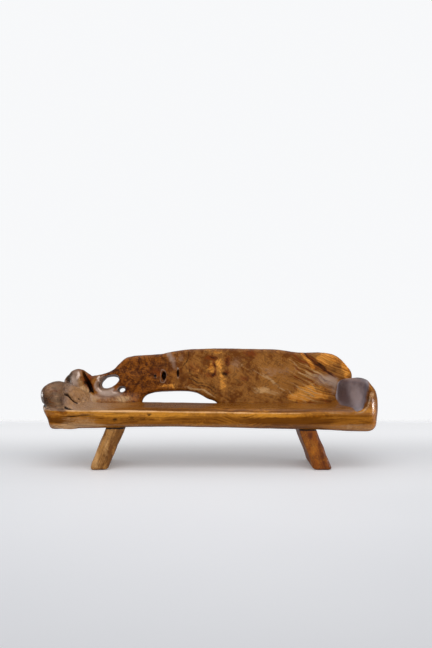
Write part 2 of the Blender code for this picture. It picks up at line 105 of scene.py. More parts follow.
def outward_of(mesh):
    flat = np.empty(3 * len(mesh.vertices))
    mesh.vertex_normals.foreach_get("vector", flat)
    return flat.reshape(-1, 3)


def edges_of(mesh):
    flat = np.empty(2 * len(mesh.edges), int)
    mesh.edges.foreach_get("vertices", flat)
    return flat.reshape(-1, 2)


def relaxed(points, edges, rounds, freedom=1.0):
    """Draws each point to its neighbours and lets it out again, so facets go and the size stays."""
    points = points.copy()
    count = np.bincount(edges.ravel(), minlength=len(points))
    for step in range(2 * rounds):
        pull = 0.55 if step % 2 == 0 else -0.56
        for axis in range(3):
            value = points[:, axis]
            total = np.bincount(edges[:, 0], value[edges[:, 1]], len(points))
            total += np.bincount(edges[:, 1], value[edges[:, 0]], len(points))
            points[:, axis] = value + pull * freedom * (total / count - value)
    return points


def stroke(points, path, width, taper=0.25):
    """Nearness to a path, 1 on it and 0 well away from it, fading towards its two ends."""
    path = np.array(path, float)
    spans = np.linalg.norm(np.diff(path, axis=0), axis=1)
    starts = np.concatenate(([0.0], np.cumsum(spans)))
    nearest = np.full(len(points), np.inf)
    share = np.zeros(len(points))
    for start, end, span, begun in zip(path, path[1:], spans, starts):
        along = np.clip((points - start) @ (end - start) / span**2, 0, 1)
        gap = np.linalg.norm(points - start - along[:, None] * (end - start), axis=1)
        closer = gap < nearest
        nearest[closer] = gap[closer]
        share[closer] = ((begun + along * span) / starts[-1])[closer]
    fade = np.clip(np.minimum(share, 1 - share) / taper, 0, 1)
    return np.exp(-((nearest / width) ** 2)) * np.sqrt(fade)


def patch(points, centre, radii):
    """A soft patch, 1 at its middle and 0 well outside its radii."""
    return np.exp(-(((points - np.array(centre)) / np.array(radii)) ** 2).sum(axis=1))


def ripple(points, size, seed=0):
    """Smooth noise between -1 and 1, in lumps about size metres across along each axis."""
    shift = Vector((7.3 * seed, 3.1 * seed, 5.7 * seed))
    scaled = points / np.array(size)
    return np.array([noise.noise(Vector(place) + shift) for place in scaled.tolist()])


def ramp(value, low, high):
    share = np.clip((value - low) / (high - low), 0, 1)
    return share * share * (3 - 2 * share)


def store(mesh, name, values):
    """Keeps a number, a vector or a colour for each point, for the material to read."""
    width = values.shape[1] if values.ndim > 1 else 1
    kind, key = {1: ("FLOAT", "value"), 3: ("FLOAT_VECTOR", "vector"), 4: ("FLOAT_COLOR", "color")}[width]
    mesh.attributes.new(name, kind, "POINT").data.foreach_set(key, values.ravel())


plugs = {}
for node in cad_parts:
    if node.startswith("back_tenon"):
        plugs[node] = [plane(0, -PLUG_SETBACK, BACK_UP)]
    elif node.startswith("seat_peg"):
        plugs[node] = [plane(LEDGE_WIDTH - PLUG_SETBACK, 0, BACK_REARWARD)]
    elif node.endswith("dowel"):
        plugs[node] = [plane(-PLUG_SETBACK, 0, BACK_REARWARD)]
    elif node.endswith("wedge"):
        plugs[node] = []
for node, level in (("left_leg", 0.289), ("right_leg", 0.278)):
    plugs[node] = [(Vector((0, 0, level)), Vector((0, 0, -1)))]
trunk_mesh = fine_copy("seat_trunk", plugs, TRUNK_VOXEL)

CARVED_END = -0.800
CARVED_BACK = 0.100
CARVED_FOOT = 0.285
bm = bmesh.new()
bm.from_mesh(trunk_mesh)
carved = [
    edge for edge in bm.edges
    if all(v.co.x < CARVED_END and v.co.y < CARVED_BACK and v.co.z > CARVED_FOOT for v in edge.verts)
]
bmesh.ops.subdivide_edges(bm, edges=carved, cuts=1, use_grid_fill=True)
bm.to_mesh(trunk_mesh)
bm.free()

FRONT_Y = -0.284
EDGE_Z = 0.413
points = points_of(trunk_mesh)
edges = edges_of(trunk_mesh)
points = relaxed(points, edges, 6)
front_edge = np.exp(-(((points[:, 1] - FRONT_Y) / 0.03) ** 2) - ((points[:, 2] - EDGE_Z) / 0.03) ** 2)
points = relaxed(points, edges, 60, 1 - 0.9 * front_edge)


def pulled(points, pulls):
    """Moves soft patches of points, each given by its centre, its radii and its shift."""
    moved = points.copy()
    for centre, radii, shift in pulls:
        moved += patch(points, centre, radii)[:, None] * np.array(shift)
    return moved


# The hewn ends bulge a little past an even curve.
points = pulled(points, [
    ((1.130, -0.100, 0.420), (0.120, 0.400, 0.160), (0.009, 0, 0)),
    ((1.050, -0.150, 0.610), (0.060, 0.300, 0.050), (0.006, 0, 0.012)),
    ((0.905, 0.090, 0.500), (0.050, 0.140, 0.090), (0.024, 0, 0)),
    ((0.980, -0.200, 0.270), (0.160, 0.300, 0.060), (0, 0, -0.007)),
    ((1.120, -0.200, 0.305), (0.050, 0.300, 0.040), (0.010, 0, -0.006)),
    ((1.105, -0.150, 0.585), (0.040, 0.300, 0.040), (-0.006, 0, -0.002)),
    ((-1.125, -0.190, 0.565), (0.060, 0.250, 0.060), (-0.005, 0, 0.004)),
    ((-1.050, -0.200, 0.600), (0.060, 0.250, 0.040), (0, 0, 0.008)),
    ((-1.150, -0.150, 0.480), (0.080, 0.400, 0.120), (-0.008, 0, 0)),
    ((-1.120, -0.200, 0.400), (0.080, 0.300, 0.050), (-0.010, 0, 0)),
    ((-1.090, -0.220, 0.300), (0.060, 0.200, 0.040), (-0.010, 0, -0.015)),
    ((0.960, -0.284, 0.413), (0.120, 0.040, 0.040), (0, 0.002, -0.009)),
    ((0.500, -0.284, 0.413), (0.400, 0.045, 0.035), (0, 0, -0.017)),
    ((-0.120, -0.284, 0.413), (0.340, 0.045, 0.035), (0, 0, -0.006)),
])
set_points(trunk_mesh, points)

# Large forms first: the bulb of the left arm hangs over the apron, and the seat swells by the arch.
outward = outward_of(trunk_mesh)
OVERHANG = [
    (-1.150, -0.060, 0.462), (-1.145, -0.170, 0.456), (-1.126, -0.236, 0.446), (-1.104, -0.264, 0.436),
    (-1.070, -0.279, 0.424), (-1.035, -0.283, 0.414), (-1.001, -0.284, 0.408), (-0.960, -0.284, 0.404),
]
NOTCH = [(-1.158, -0.080, 0.452), (-1.150, -0.180, 0.450), (-1.128, -0.238, 0.444), (-1.105, -0.266, 0.436)]
BULB_FOLD = [
    (-1.012, -0.100, 0.590), (-1.008, -0.162, 0.580), (-0.988, -0.204, 0.545), (-0.984, -0.240, 0.508),
    (-0.984, -0.281, 0.471), (-0.987, -0.283, 0.431),
]
RIGHT_RIDGE = [
    (0.975, 0.150, 0.605), (0.956, 0.145, 0.575), (0.949, 0.140, 0.544), (0.942, 0.140, 0.507), (0.935, 0.125, 0.472),
    (0.930, 0.092, 0.446),
]
RIGHT_CREASE = [
    (0.958, -0.283, 0.397), (1.040, -0.284, 0.410), (1.074, -0.283, 0.451), (1.082, -0.277, 0.518),
    (1.096, -0.268, 0.556),
]
relief = -0.003 * stroke(points, OVERHANG, 0.011, 0.15) - 0.007 * stroke(points, NOTCH, 0.013)
relief += -0.005 * stroke(points, BULB_FOLD, 0.010)
relief += 0.007 * patch(points, (0, 0.130, 0.430), (9, 0.10, 0.03)) * patch(points, (-0.50, 0, 0), (0.18, 9, 9))
relief += -0.003 * patch(points, (0.12, 0.130, 0.430), (0.20, 0.10, 0.03))
relief += -0.012 * patch(points, (0.995, -0.070, 0.520), (0.060, 0.110, 0.065))
ridge = stroke(points, RIGHT_RIDGE, 0.010)
relief += 0.010 * ridge
relief += 0.005 * stroke(points, RIGHT_CREASE, 0.012)
relief += 0.0025 * ripple(points, (0.30, 0.12, 0.12), 1)
relief += 0.0012 * ripple(points, (0.07, 0.05, 0.05), 2)
points += outward * relief[:, None]
set_points(trunk_mesh, points)

# Cracks, folds and the scaly slope inside the left arm.
outward = outward_of(trunk_mesh)
SLOPE_CRACK = [
    (-0.985, -0.230, 0.518), (-0.970, -0.200, 0.511), (-0.954, -0.176, 0.488), (-0.944, -0.159, 0.472),
    (-0.928, -0.131, 0.455), (-0.913, -0.100, 0.445),
]
SLOPE_LID = [(-0.984, -0.215, 0.536), (-0.970, -0.190, 0.526), (-0.957, -0.168, 0.506), (-0.946, -0.150, 0.488)]
SECOND_CRACK = [(-0.950, -0.120, 0.512), (-0.930, -0.090, 0.487), (-0.912, -0.060, 0.462), (-0.890, -0.020, 0.446)]
CORNER_SLIT = [(-0.980, -0.281, 0.432), (-0.955, -0.268, 0.429), (-0.925, -0.245, 0.426)]
APRON_CRACK = [
    (-0.990, -0.284, 0.367), (-0.953, -0.284, 0.370), (-0.913, -0.284, 0.374), (-0.872, -0.284, 0.380),
    (-0.831, -0.284, 0.383), (-0.780, -0.284, 0.384),
]
LOWER_LIP = [(-1.075, -0.262, 0.320), (-1.031, -0.270, 0.305), (-0.985, -0.262, 0.296), (-0.890, -0.250, 0.291)]
LIP_GROOVE = [(-1.085, -0.262, 0.340), (-1.035, -0.278, 0.329), (-0.985, -0.280, 0.324), (-0.930, -0.282, 0.322)]
cracks = 1.3 * stroke(points, SLOPE_CRACK, 0.0085) + 0.45 * stroke(points, SECOND_CRACK, 0.0060)
cracks += 1.4 * stroke(points, CORNER_SLIT, 0.0105) + 0.7 * stroke(points, APRON_CRACK, 0.0060)
cracks += 0.5 * stroke(points, LIP_GROOVE, 0.0080)
cracks += 0.5 * stroke(points, NOTCH, 0.0100)
under = np.interp(points[:, 0], [p[0] for p in APRON_CRACK], [p[2] for p in APRON_CRACK]) - points[:, 2]
band = ramp(under, 0.000, 0.006) * ramp(under, 0.055, 0.012)
band *= ramp(points[:, 0], -1.02, -0.93) * ramp(points[:, 0], -0.70, -0.80) * ramp(points[:, 1], -0.20, -0.25)
scales = patch(points, (-0.888, -0.005, 0.455), (0.050, 0.110, 0.035))
relief = -0.014 * np.minimum(cracks, 1) - 0.008 * band
lid = stroke(points, SLOPE_LID, 0.009)
lip = stroke(points, LOWER_LIP, 0.012)
relief += 0.010 * lid + 0.010 * lip
flakes = ripple(points, (0.018, 0.040, 0.015), 3)
relief += 0.0100 * scales * flakes
points += outward * relief[:, None]
set_points(trunk_mesh, points)


def convexity(mesh):
    """How far each point stands above its neighbours, smoothed: edges are above 0, grooves below."""
    places, sides, ends = points_of(mesh), outward_of(mesh), edges_of(mesh)
    count = np.bincount(ends.ravel(), minlength=len(places))

    def spread(value):
        total = np.bincount(ends[:, 0], value[ends[:, 1]], len(places))
        return (total + np.bincount(ends[:, 1], value[ends[:, 0]], len(places))) / count

    mean = np.stack([spread(places[:, axis]) for axis in range(3)], axis=1)
    rise = ((places - mean) * sides).sum(axis=1)
    for step in range(4):
        rise = spread(rise)
    return rise


# Growth rings run round a pith that wanders along the log; knots push them aside.
PITH = (0.030, 0.345)
APRON_KNOTS = [
    (-0.634, FRONT_Y, 0.353, 0.015), (-0.520, FRONT_Y, 0.363, 0.013), (-0.447, FRONT_Y, 0.360, 0.012),
    (-0.404, FRONT_Y, 0.382, 0.010),
]
wander = np.stack((
    0.10 * ripple(points, (0.90, 0.5, 0.5), 4),
    0.020 * ripple(points, (0.45, 0.3, 0.3), 5),
    0.020 * ripple(points, (0.45, 0.3, 0.3), 6),
), axis=1)
wander[:, 2] += 0.060 * patch(points, (0.240, FRONT_Y, 0.350), (0.130, 0.060, 9))
placed = points + wander
across = np.hypot(placed[:, 1] - PITH[0], placed[:, 2] - PITH[1])
turn = np.arctan2(placed[:, 2] - PITH[1], placed[:, 1] - PITH[0])
knots = np.zeros(len(points))
for x, y, z, radius in APRON_KNOTS:
    near = patch(points, (x, y, z), (1.8 * radius, radius, radius))
    knots += near
    across += 0.016 * near
on_end = ramp(np.abs(outward_of(trunk_mesh)[:, 0]), 0.60, 0.90) * ramp(np.abs(points[:, 0]), 0.95, 1.05)
store(trunk_mesh, "grain", np.stack((placed[:, 0], across, (0.25 - 0.23 * on_end) * turn), axis=1))

# What the log shows where: amber along the apron, grey skin on the bulb, and on the right arm's face a grey that is
# painted sheen.
x, y, z = points.T
front = ramp(y, -0.235, -0.268) * ramp(outward_of(trunk_mesh)[:, 1], -0.35, -0.75)
band_foot = 0.361 - 0.007 * ramp(x, 0.10, 0.35)
lower = ramp(z, band_foot + 0.018, band_foot)
bottom = front * ramp(z, 0.332, 0.312)
apron_right = ramp(x, 0.10, 0.45) * ramp(x, 0.95, 0.62) * (1 + 0.35 * ripple(points, (0.16, 0.05, 0.020), 10))
apron_left = ramp(x, -1.08, -0.94) * ramp(x, -0.66, -0.82)
bulb_foot = 0.425 - 0.40 * (x + 1.060)
bulb = ramp(x, -0.940, -1.010) * ramp(z, bulb_foot - 0.022, bulb_foot + 0.022)
slope = ramp(x, -1.010, -0.970) * ramp(x, -0.800, -0.920) * ramp(z, 0.415, 0.480)
face_edge = np.interp(z, (0.400, 0.417, 0.451, 0.498, 0.552, 0.600), (1.040, 1.053, 1.066, 1.072, 1.076, 1.082))
steep = np.maximum(ramp(outward_of(trunk_mesh)[:, 0], -0.18, -0.42), ramp(z, 0.440, 0.475))
face = steep * ramp(x, 0.922, 0.948) * ramp(z, 0.378, 0.400) * ramp(x, face_edge + 0.030, face_edge - 0.040)
right_strip = ramp(x, 1.040, 1.090) * ramp(z, 0.400, 0.440) * (1 - face)
arm_top = ramp(z, 0.520, 0.600) * ramp(x, 0.90, 0.95) * ramp(x, 1.140, 1.050)
blotch = ripple(points, (0.22, 0.06, 0.05), 7)
band_right = ramp(x, 0.25, 0.80)
amber = 0.15 + (0.55 - 0.25 * band_right) * front * (1 - lower) + front * lower * (0.05 - 0.40 * apron_right - 0.25 * apron_left) + 0.45 * blotch
apron_end = (1 - bulb) * front * ramp(x, -0.840, -1.040) * ramp(z, 0.320, 0.350)
amber -= 0.28 * apron_end
amber *= (1 - bulb) * (1 - 0.7 * slope) * (1 - face) * (1 - 0.7 * arm_top) * (1 - 0.5 * right_strip)
strip_dark = patch(points, (1.092, -0.283, 0.484), (0.014, 0.050, 0.030))
# Painted shade: the cracks, grooves and the notch are darkened as the shade deep inside them, and the trunk is darker
# along its underside; knots are darker wood.
dark = 0.95 * np.minimum(cracks, 1) + 0.75 * knots + 0.35 * ramp(z, 0.300, 0.275)
# Painted shade in the fold beside the bulb, on the apron just below the bulb and under its overhang; the scaly patch
# gets dark flecks of its own.
dark += 0.15 * patch(points, (-1.000, -0.255, 0.480), (0.024, 0.060, 0.060))
dark += 0.30 * patch(points, (-1.090, -0.250, 0.425), (0.040, 0.050, 0.025)) - 2.0 * scales * np.minimum(flakes, 0)
dark += 0.25 * stroke(points, OVERHANG[:4], 0.014) + 0.30 * patch(points, (-1.120, -0.200, 0.470), (0.040, 0.200, 0.050))
APRON_ARCS = [
    ((-0.070, 0.364), (0.010, 0.354), (0.070, 0.336), (0.100, 0.312)),
    ((-0.004, 0.376), (0.068, 0.368), (0.125, 0.346), (0.161, 0.317)),
    ((0.052, 0.384), (0.140, 0.374), (0.190, 0.352), (0.220, 0.320)),
    ((0.120, 0.388), (0.205, 0.374), (0.250, 0.350), (0.275, 0.325)),
]
SEAT_STREAK = [(-0.845, -0.020, 0.427), (-0.700, 0.050, 0.430), (-0.585, 0.090, 0.431), (-0.450, 0.100, 0.431)]
dark += 0.50 * stroke(points, SEAT_STREAK, 0.016) + 0.15 * apron_end
for arc in APRON_ARCS:
    dark += 0.50 * stroke(points, [(along, FRONT_Y, up) for along, up in arc], 0.0045)
# Grey skin on the bulb, the slope and a band of the apron; on the right arm's face, its ridge and its top the grey is
# painted sheen.
grey_and_sheen = 0.45 * bulb + 0.30 * slope + 1.3 * face + 0.15 * band + 0.7 * arm_top + 1.2 * ridge
seat_left = ramp(x, -0.45, -0.85) * ramp(z, 0.405, 0.415) * (1 - slope) * (1 - bulb)
grey_and_sheen += 0.42 * seat_left + 0.10 * front * lower * apron_left + 0.15 * bottom * (1 - apron_right)
# Painted shade on the bulb, less of it at a lighter patch on its top left.
bulb_light = patch(points, (-1.093, -0.245, 0.558), (0.024, 0.070, 0.034))
dark += 0.50 * bulb * (1 - 0.6 * bulb_light)
FACE_END = [
    (1.080, -0.243, 0.597), (1.083, -0.272, 0.552), (1.079, -0.284, 0.498), (1.070, -0.286, 0.455), (1.048, -0.286, 0.420),
]
dark += 0.65 * strip_dark + 0.50 * stroke(points, FACE_END[:4], 0.010)
red = 0.35 * front * lower + 0.30 * ripple(points, (0.25, 0.05, 0.03), 8)
red += bulb * (0.40 + 0.4 * ramp(z, 0.500, 0.400))
# Painted sheen: a pale vertical streak down the bulb's front.
sheen = stroke(points, [(-1.006, -0.283, 0.418), (-1.018, -0.282, 0.448), (-1.030, -0.279, 0.478), (-1.036, -0.262, 0.530)], 0.012)
pale = 0.85 * slope + bulb * (0.62 + 0.40 * sheen) + 0.95 * seat_left
pale += 0.80 * patch(points, (1.118, -0.266, 0.520), (0.014, 0.080, 0.028))
# The raised lid over the crack is paler; the lower lip's pale stroke is a painted highlight.
pale += 0.9 * lid + 0.7 * lip + 0.62 * front * lower * apron_left + 0.50 * bottom * (1 - apron_right)
streaky = 0.80 - 0.70 * bulb - 0.80 * face - 0.5 * slope - 0.4 * arm_top - 0.6 * right_strip * (1 - on_end)
rise = convexity(trunk_mesh)
# Painted shade: the trunk is darker where it sinks below its neighbours, in hollows and grooves.
dark += 0.80 * ramp(rise, -0.00010, -0.00070)
# Edges that stand proud are paler, partly as wear and partly as painted highlight.
wear_and_highlight = ramp(rise, 0.00022, 0.00090) * (0.10 + 0.60 * ramp(x, -0.25, -0.55))
# Painted highlight along the seat's front edge, where it rolls over into the apron.
EDGE_LIGHT = [
    (-0.980, FRONT_Y, EDGE_Z), (-0.350, FRONT_Y, 0.410), (-0.100, FRONT_Y, 0.405), (0.300, FRONT_Y, 0.399),
    (0.700, FRONT_Y, 0.397),
]
edge_light = stroke(points, EDGE_LIGHT, 0.0105, 0.06) * (1 + 0.3 * ripple(points, (0.09, 0.5, 0.5), 9))
edge_light *= 1.2 - 0.22 * ramp(x, -0.55, -0.35) - 0.20 * ramp(x, 0.30, 0.45)
wear_and_highlight += edge_light + 1.5 * scales * np.maximum(flakes, 0)
# Painted highlight: a pale rolled rim round the right arm's front edge.
ROLLED_RIM = [
    (0.780, FRONT_Y, 0.405), (0.890, FRONT_Y, 0.394), (0.985, -0.286, 0.388), (1.045, -0.286, 0.402),
    (1.078, -0.286, 0.440), (1.092, -0.284, 0.485), (1.100, -0.272, 0.545),
]
rim = stroke(points, ROLLED_RIM, 0.011, 0.12)
pale += 0.75 * rim
wear_and_highlight += 0.42 * rim
figure = np.stack((amber, dark, grey_and_sheen, 0.6 * scales), axis=1)
tint = np.stack((red, pale, wear_and_highlight, streaky), axis=1)
tone = (0.18 - 0.12 * band_right) * front * (1 - lower) + front * lower * (0.04 - 0.30 * apron_right) + 0.20 * slope + 0.3 * scales * flakes
tone += 0.22 * bottom - 0.20 * apron_end
# Painted shading on the bulb: lighter at its top and top left and along the sheen, darker to the right and low down.
tone += bulb * (0.10 * ramp(z, 0.500, 0.590) - 0.22 * ramp(x, -1.050, -0.990) - 0.15 * ramp(z, 0.520, 0.430) - 0.42)
tone += 0.16 * bulb * patch(points, (-1.085, -0.230, 0.555), (0.035, 0.150, 0.040)) + 0.20 * bulb * sheen
# Painted shading on the right arm's face: lighter in the middle and darker to the left and round its end, with a
# painted highlight on its ridge and its rolled rim, and lighter along the arm's top.
tone += 0.50 * face * patch(points, (1.022, 0, 0.500), (0.026, 9, 0.080)) - 0.15 * face - 0.25 * stroke(points, FACE_END, 0.022)
tone += 0.55 * ridge**2 + 0.10 * rim
tone -= 0.25 * face * patch(points, (0.970, 0, 0.500), (0.022, 9, 0.080)) - 0.20 * arm_top * ramp(z, 0.585, 0.610)
tone += 0.40 * seat_left - 0.04 * right_strip
store(trunk_mesh, "figure", np.clip(figure, 0, 1))
store(trunk_mesh, "tint", np.clip(tint, 0, 1))
store(trunk_mesh, "tone", tone)
EDGE_SHOULDER = [(-0.450, -0.266, 0.412), (-0.100, -0.266, 0.407), (0.300, -0.266, 0.402), (0.800, -0.266, 0.402)]
dull = front * ramp(z, 0.392, 0.372) * ramp(z, 0.308, 0.326) + stroke(points, EDGE_SHOULDER, 0.016, 0.1)
store(trunk_mesh, "dull", 0.85 * np.clip(dull, 0, 1))


def linear(code):
    """An sRGB hex colour as the linear value that a shader takes."""
    channels = [int(code[i:i + 2], 16) / 255 for i in (1, 3, 5)]
    return (*(c / 12.92 if c < 0.04045 else ((c + 0.055) / 1.055) ** 2.4 for c in channels), 1)


def add(tree, kind, inputs, **settings):
    """Adds a shader node with its settings; an input that is a socket is linked, others are set."""
    node = tree.nodes.new("ShaderNode" + kind)
    for name, value in settings.items():
        setattr(node, name, value)
    for name, value in inputs.items():
        if isinstance(value, bpy.types.NodeSocket):
            tree.links.new(value, node.inputs[name])
        else:
            node.inputs[name].default_value = value
    return node


# Varnished hardwood: fibres a millimetre or two wide run in streaks some centimetres long, over
# bands of early and late wood. Where the grain is wild the bands close into clouds and swirls.
# Sapwood shows amber and burr shows as mottle and specks. Hollows get painted shade, and edges and
# glints a pale colour that is partly wear and partly painted highlight; grey skin is partly painted sheen.
GRAIN_SIZES = {"bands": (0.60, 0.018, 0.016, 3), "streaks": (0.30, 0.0065, 0.0055, 4), "fibres": (0.06, 0.0020, 0.002, 3)}
CLOUD_SIZES = {"mottle": (0.015, 5), "blotch": (0.055, 5), "cloud": (0.140, 3)}
SPECK_SIZE = 0.0075
SWIRL_TURNS = 44.0


def varnished_wood(name, colours, gloss, coat):
    material = bpy.data.materials.new(name)
    material.use_nodes = True
    tree = material.node_tree
    shader = tree.nodes["Principled BSDF"]
    grain = add(tree, "Attribute", {}, attribute_name="grain").outputs["Vector"]
    figure = add(tree, "Attribute", {}, attribute_name="figure")
    tint = add(tree, "Attribute", {}, attribute_name="tint")
    amber, dark, grey_and_sheen = add(tree, "SeparateColor", {"Color": figure.outputs["Color"]}).outputs
    red, pale, wear_and_highlight = add(tree, "SeparateColor", {"Color": tint.outputs["Color"]}).outputs
    burr, streaky = figure.outputs["Alpha"], tint.outputs["Alpha"]
    place = add(tree, "TexCoord", {}).outputs["Object"]
    field = {}
    for label, (along, across, round_, detail) in GRAIN_SIZES.items():
        drawn = add(tree, "Mapping", {"Vector": grain, "Scale": (1 / along, 1 / across, 1 / round_)})
        field[label] = add(tree, "TexNoise", {
            "Vector": drawn.outputs["Vector"], "Scale": 1.0, "Detail": detail, "Roughness": 0.6, "Distortion": 0.4,
        }).outputs["Fac"]
    for label, (size, detail) in CLOUD_SIZES.items():
        field[label] = add(tree, "TexNoise", {
            "Vector": place, "Scale": 1 / size, "Detail": detail, "Roughness": 0.62, "Distortion": 0.9,
        }).outputs["Fac"]
    field["speck"] = add(tree, "TexVoronoi", {"Vector": place, "Scale": 1 / SPECK_SIZE}).outputs["Distance"]
    turned = add(tree, "Math", {0: field["cloud"], 1: SWIRL_TURNS}, operation="MULTIPLY").outputs[0]
    field["swirl"] = add(tree, "Math", {0: turned}, operation="SINE").outputs[0]

    def weighed(start, **weights):
        """Adds fields to a start value, each by its weight and about its middle."""
        total = start
        for label, weight in weights.items():
            middle = 0.0 if label == "swirl" else 0.5
            moved = add(tree, "Math", {0: field[label], 1: weight, 2: -weight * middle}, operation="MULTIPLY_ADD")
            total = add(tree, "Math", {0: moved.outputs[0], 1: total}, operation="ADD").outputs[0]
        return total

    def between(value, low, high, most=1.0):
        return add(tree, "MapRange", {
            "Value": value, "From Min": low, "From Max": high, "To Min": 0.0, "To Max": most,
        }, interpolation_type="SMOOTHSTEP").outputs["Result"]

    straight = add(tree, "Math", {0: streaky, 1: field["bands"]}, operation="MULTIPLY").outputs[0]
    wild = add(tree, "Math", {0: 1.0, 1: streaky}, operation="SUBTRACT").outputs[0]
    clouded = add(tree, "Math", {0: wild, 1: weighed(0.5, blotch=0.8, mottle=0.25, cloud=0.8, swirl=0.07)}, operation="MULTIPLY").outputs[0]
    tone = add(tree, "Math", {0: straight, 1: clouded}, operation="ADD").outputs[0]
    lift = add(tree, "Attribute", {}, attribute_name="tone").outputs["Fac"]
    tone = add(tree, "Math", {0: tone, 1: lift}, operation="ADD").outputs[0]
    streak = add(tree, "Math", {0: between(field["streaks"], 0.48, 0.64, 0.70), 1: streaky}, operation="MULTIPLY").outputs[0]
    vein = add(tree, "Math", {0: between(field["swirl"], 0.50, 1.0, 0.55), 1: wild}, operation="MULTIPLY").outputs[0]
    share = {
        "light": between(tone, 0.39, 0.61),
        "burr": burr,
        "skin": between(weighed(lift, blotch=0.3, cloud=0.4), -0.32, 0.32),
        "mottle": between(weighed(0.5, mottle=0.7, blotch=0.9), 0.36, 0.64),
        "speck": between(field["speck"], 0.36, 0.10, 0.60),
        "amber": between(weighed(amber, streaks=0.6, blotch=0.8, mottle=0.8), 0.26, 0.74),
        "red": between(weighed(red, blotch=0.8, streaks=0.4), 0.30, 0.80),
        "pale": between(weighed(pale, streaks=1.6, blotch=0.5, mottle=0.4), 0.32, 0.85, 0.75),
        "grey_and_sheen": between(weighed(grey_and_sheen, blotch=0.5, streaks=0.3), 0.20, 0.90),
        "line": add(tree, "Math", {0: streak, 1: vein}, operation="ADD").outputs[0],
        "fibre": between(field["fibres"], 0.46, 0.70, 0.34),
        "dark": between(weighed(dark, streaks=1.0, mottle=0.4), 0.28, 0.95),
        "wear_and_highlight": between(weighed(wear_and_highlight, mottle=0.5, fibres=0.4), 0.30, 0.90),
    }
    layers = {}
    for label, base, top, by in (
        ("burr", "burr_dark", "burr_light", "mottle"), ("heart", "heart", "light", "light"),
        ("sap", "amber", "honey", "light"), ("skin", "grey_and_sheen", "silver", "skin"),
        ("burr", None, "dark", "speck"),
    ):
        layers[label] = add(tree, "Mix", {
            0: share[by], 6: linear(colours[base]) if base else layers[label], 7: linear(colours[top]),
        }, data_type="RGBA").outputs[2]
    wood = layers["heart"]
    for by, top in (
        ("burr", layers["burr"]), ("red", linear(colours["red"])), ("amber", layers["sap"]),
        ("pale", linear(colours["pale"])), ("fibre", linear(colours["line"])), ("line", linear(colours["line"])),
        ("grey_and_sheen", layers["skin"]), ("dark", linear(colours["dark"])), ("wear_and_highlight", linear(colours["wear_and_highlight"])),
    ):
        wood = add(tree, "Mix", {0: share[by], 6: wood, 7: top}, data_type="RGBA").outputs[2]
    tree.links.new(wood, shader.inputs["Base Color"])
    matt = add(tree, "MapRange", {
        "Value": field["fibres"], "From Min": 0.3, "From Max": 0.7, "To Min": gloss, "To Max": gloss + 0.12,
    }).outputs["Result"]
    tree.links.new(matt, shader.inputs["Roughness"])
    height = add(tree, "Math", {0: field["fibres"], 1: 0.4, 2: field["streaks"]}, operation="MULTIPLY_ADD").outputs[0]
    bump = add(tree, "Bump", {"Height": height, "Strength": 0.25, "Distance": 0.0012})
    tree.links.new(bump.outputs["Normal"], shader.inputs["Normal"])
    kept = add(tree, "Math", {0: 1.0, 1: add(tree, "Attribute", {}, attribute_name="dull").outputs["Fac"]}, operation="SUBTRACT")
    for layer, most in (("Specular IOR Level", 0.5), ("Coat Weight", coat)):
        share_kept = add(tree, "Math", {0: kept.outputs[0], 1: most}, operation="MULTIPLY")
        tree.links.new(share_kept.outputs[0], shader.inputs[layer])
    shader.inputs["IOR"].default_value = 1.34
    shader.inputs["Coat Roughness"].default_value = 0.08
    return material


TRUNK_COLOURS = {
    "heart": "#703f08", "light": "#a0641e", "amber": "#aa620f", "honey": "#d08a2c", "grey_and_sheen": "#53464a",
    "silver": "#988a8c", "red": "#80450a", "pale": "#c79c6e", "line": "#4a2202", "dark": "#1a0902",
    "wear_and_highlight": "#e2b078", "burr_dark": "#6a4526", "burr_light": "#b78c62",
}
trunk = bpy.data.objects.new("carved_trunk", trunk_mesh)
bpy.context.scene.collection.objects.link(trunk)
trunk_mesh.materials.clear()
trunk_mesh.materials.append(varnished_wood("varnished_trunk_wood", TRUNK_COLOURS, 0.22, 0.20))
trunk_mesh.shade_smooth()
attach(trunk, "root")
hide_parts("seat_trunk")

# Back slab: a burl board that leans on the trunk's ledge, with a root lobe, a deep fold and holes.
# It is one thick plank of wild grain, sanded smooth and varnished; the left half is burr, the right
# half is straight heartwood with orange sapwood at its corner.
BACK_VOXEL = 0.0052
plugs = {}
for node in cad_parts:
    if node.startswith("back_tenon"):
        plugs[node] = [plane(0, PLUG_SETBACK, -BACK_UP)]
    elif node.startswith("back_peg"):
        plugs[node] = [plane(SLAB_THICKNESS - PLUG_SETBACK, 0, BACK_REARWARD)]
    elif node.endswith("dowel"):
        plugs[node] = [
            plane(SLAB_THICKNESS - PLUG_SETBACK, 0, BACK_REARWARD), plane(PLUG_SETBACK, 0, -BACK_REARWARD),
        ]
back_mesh = fine_copy("back_slab", plugs, BACK_VOXEL)


def on_slab(points):
    """Places as (x, height up the slab, depth behind its front face)."""
    from_foot = points - np.array(BACK_FOOT)
    return np.stack((points[:, 0], from_foot @ np.array(BACK_UP), from_foot @ np.array(BACK_REARWARD)), axis=1)


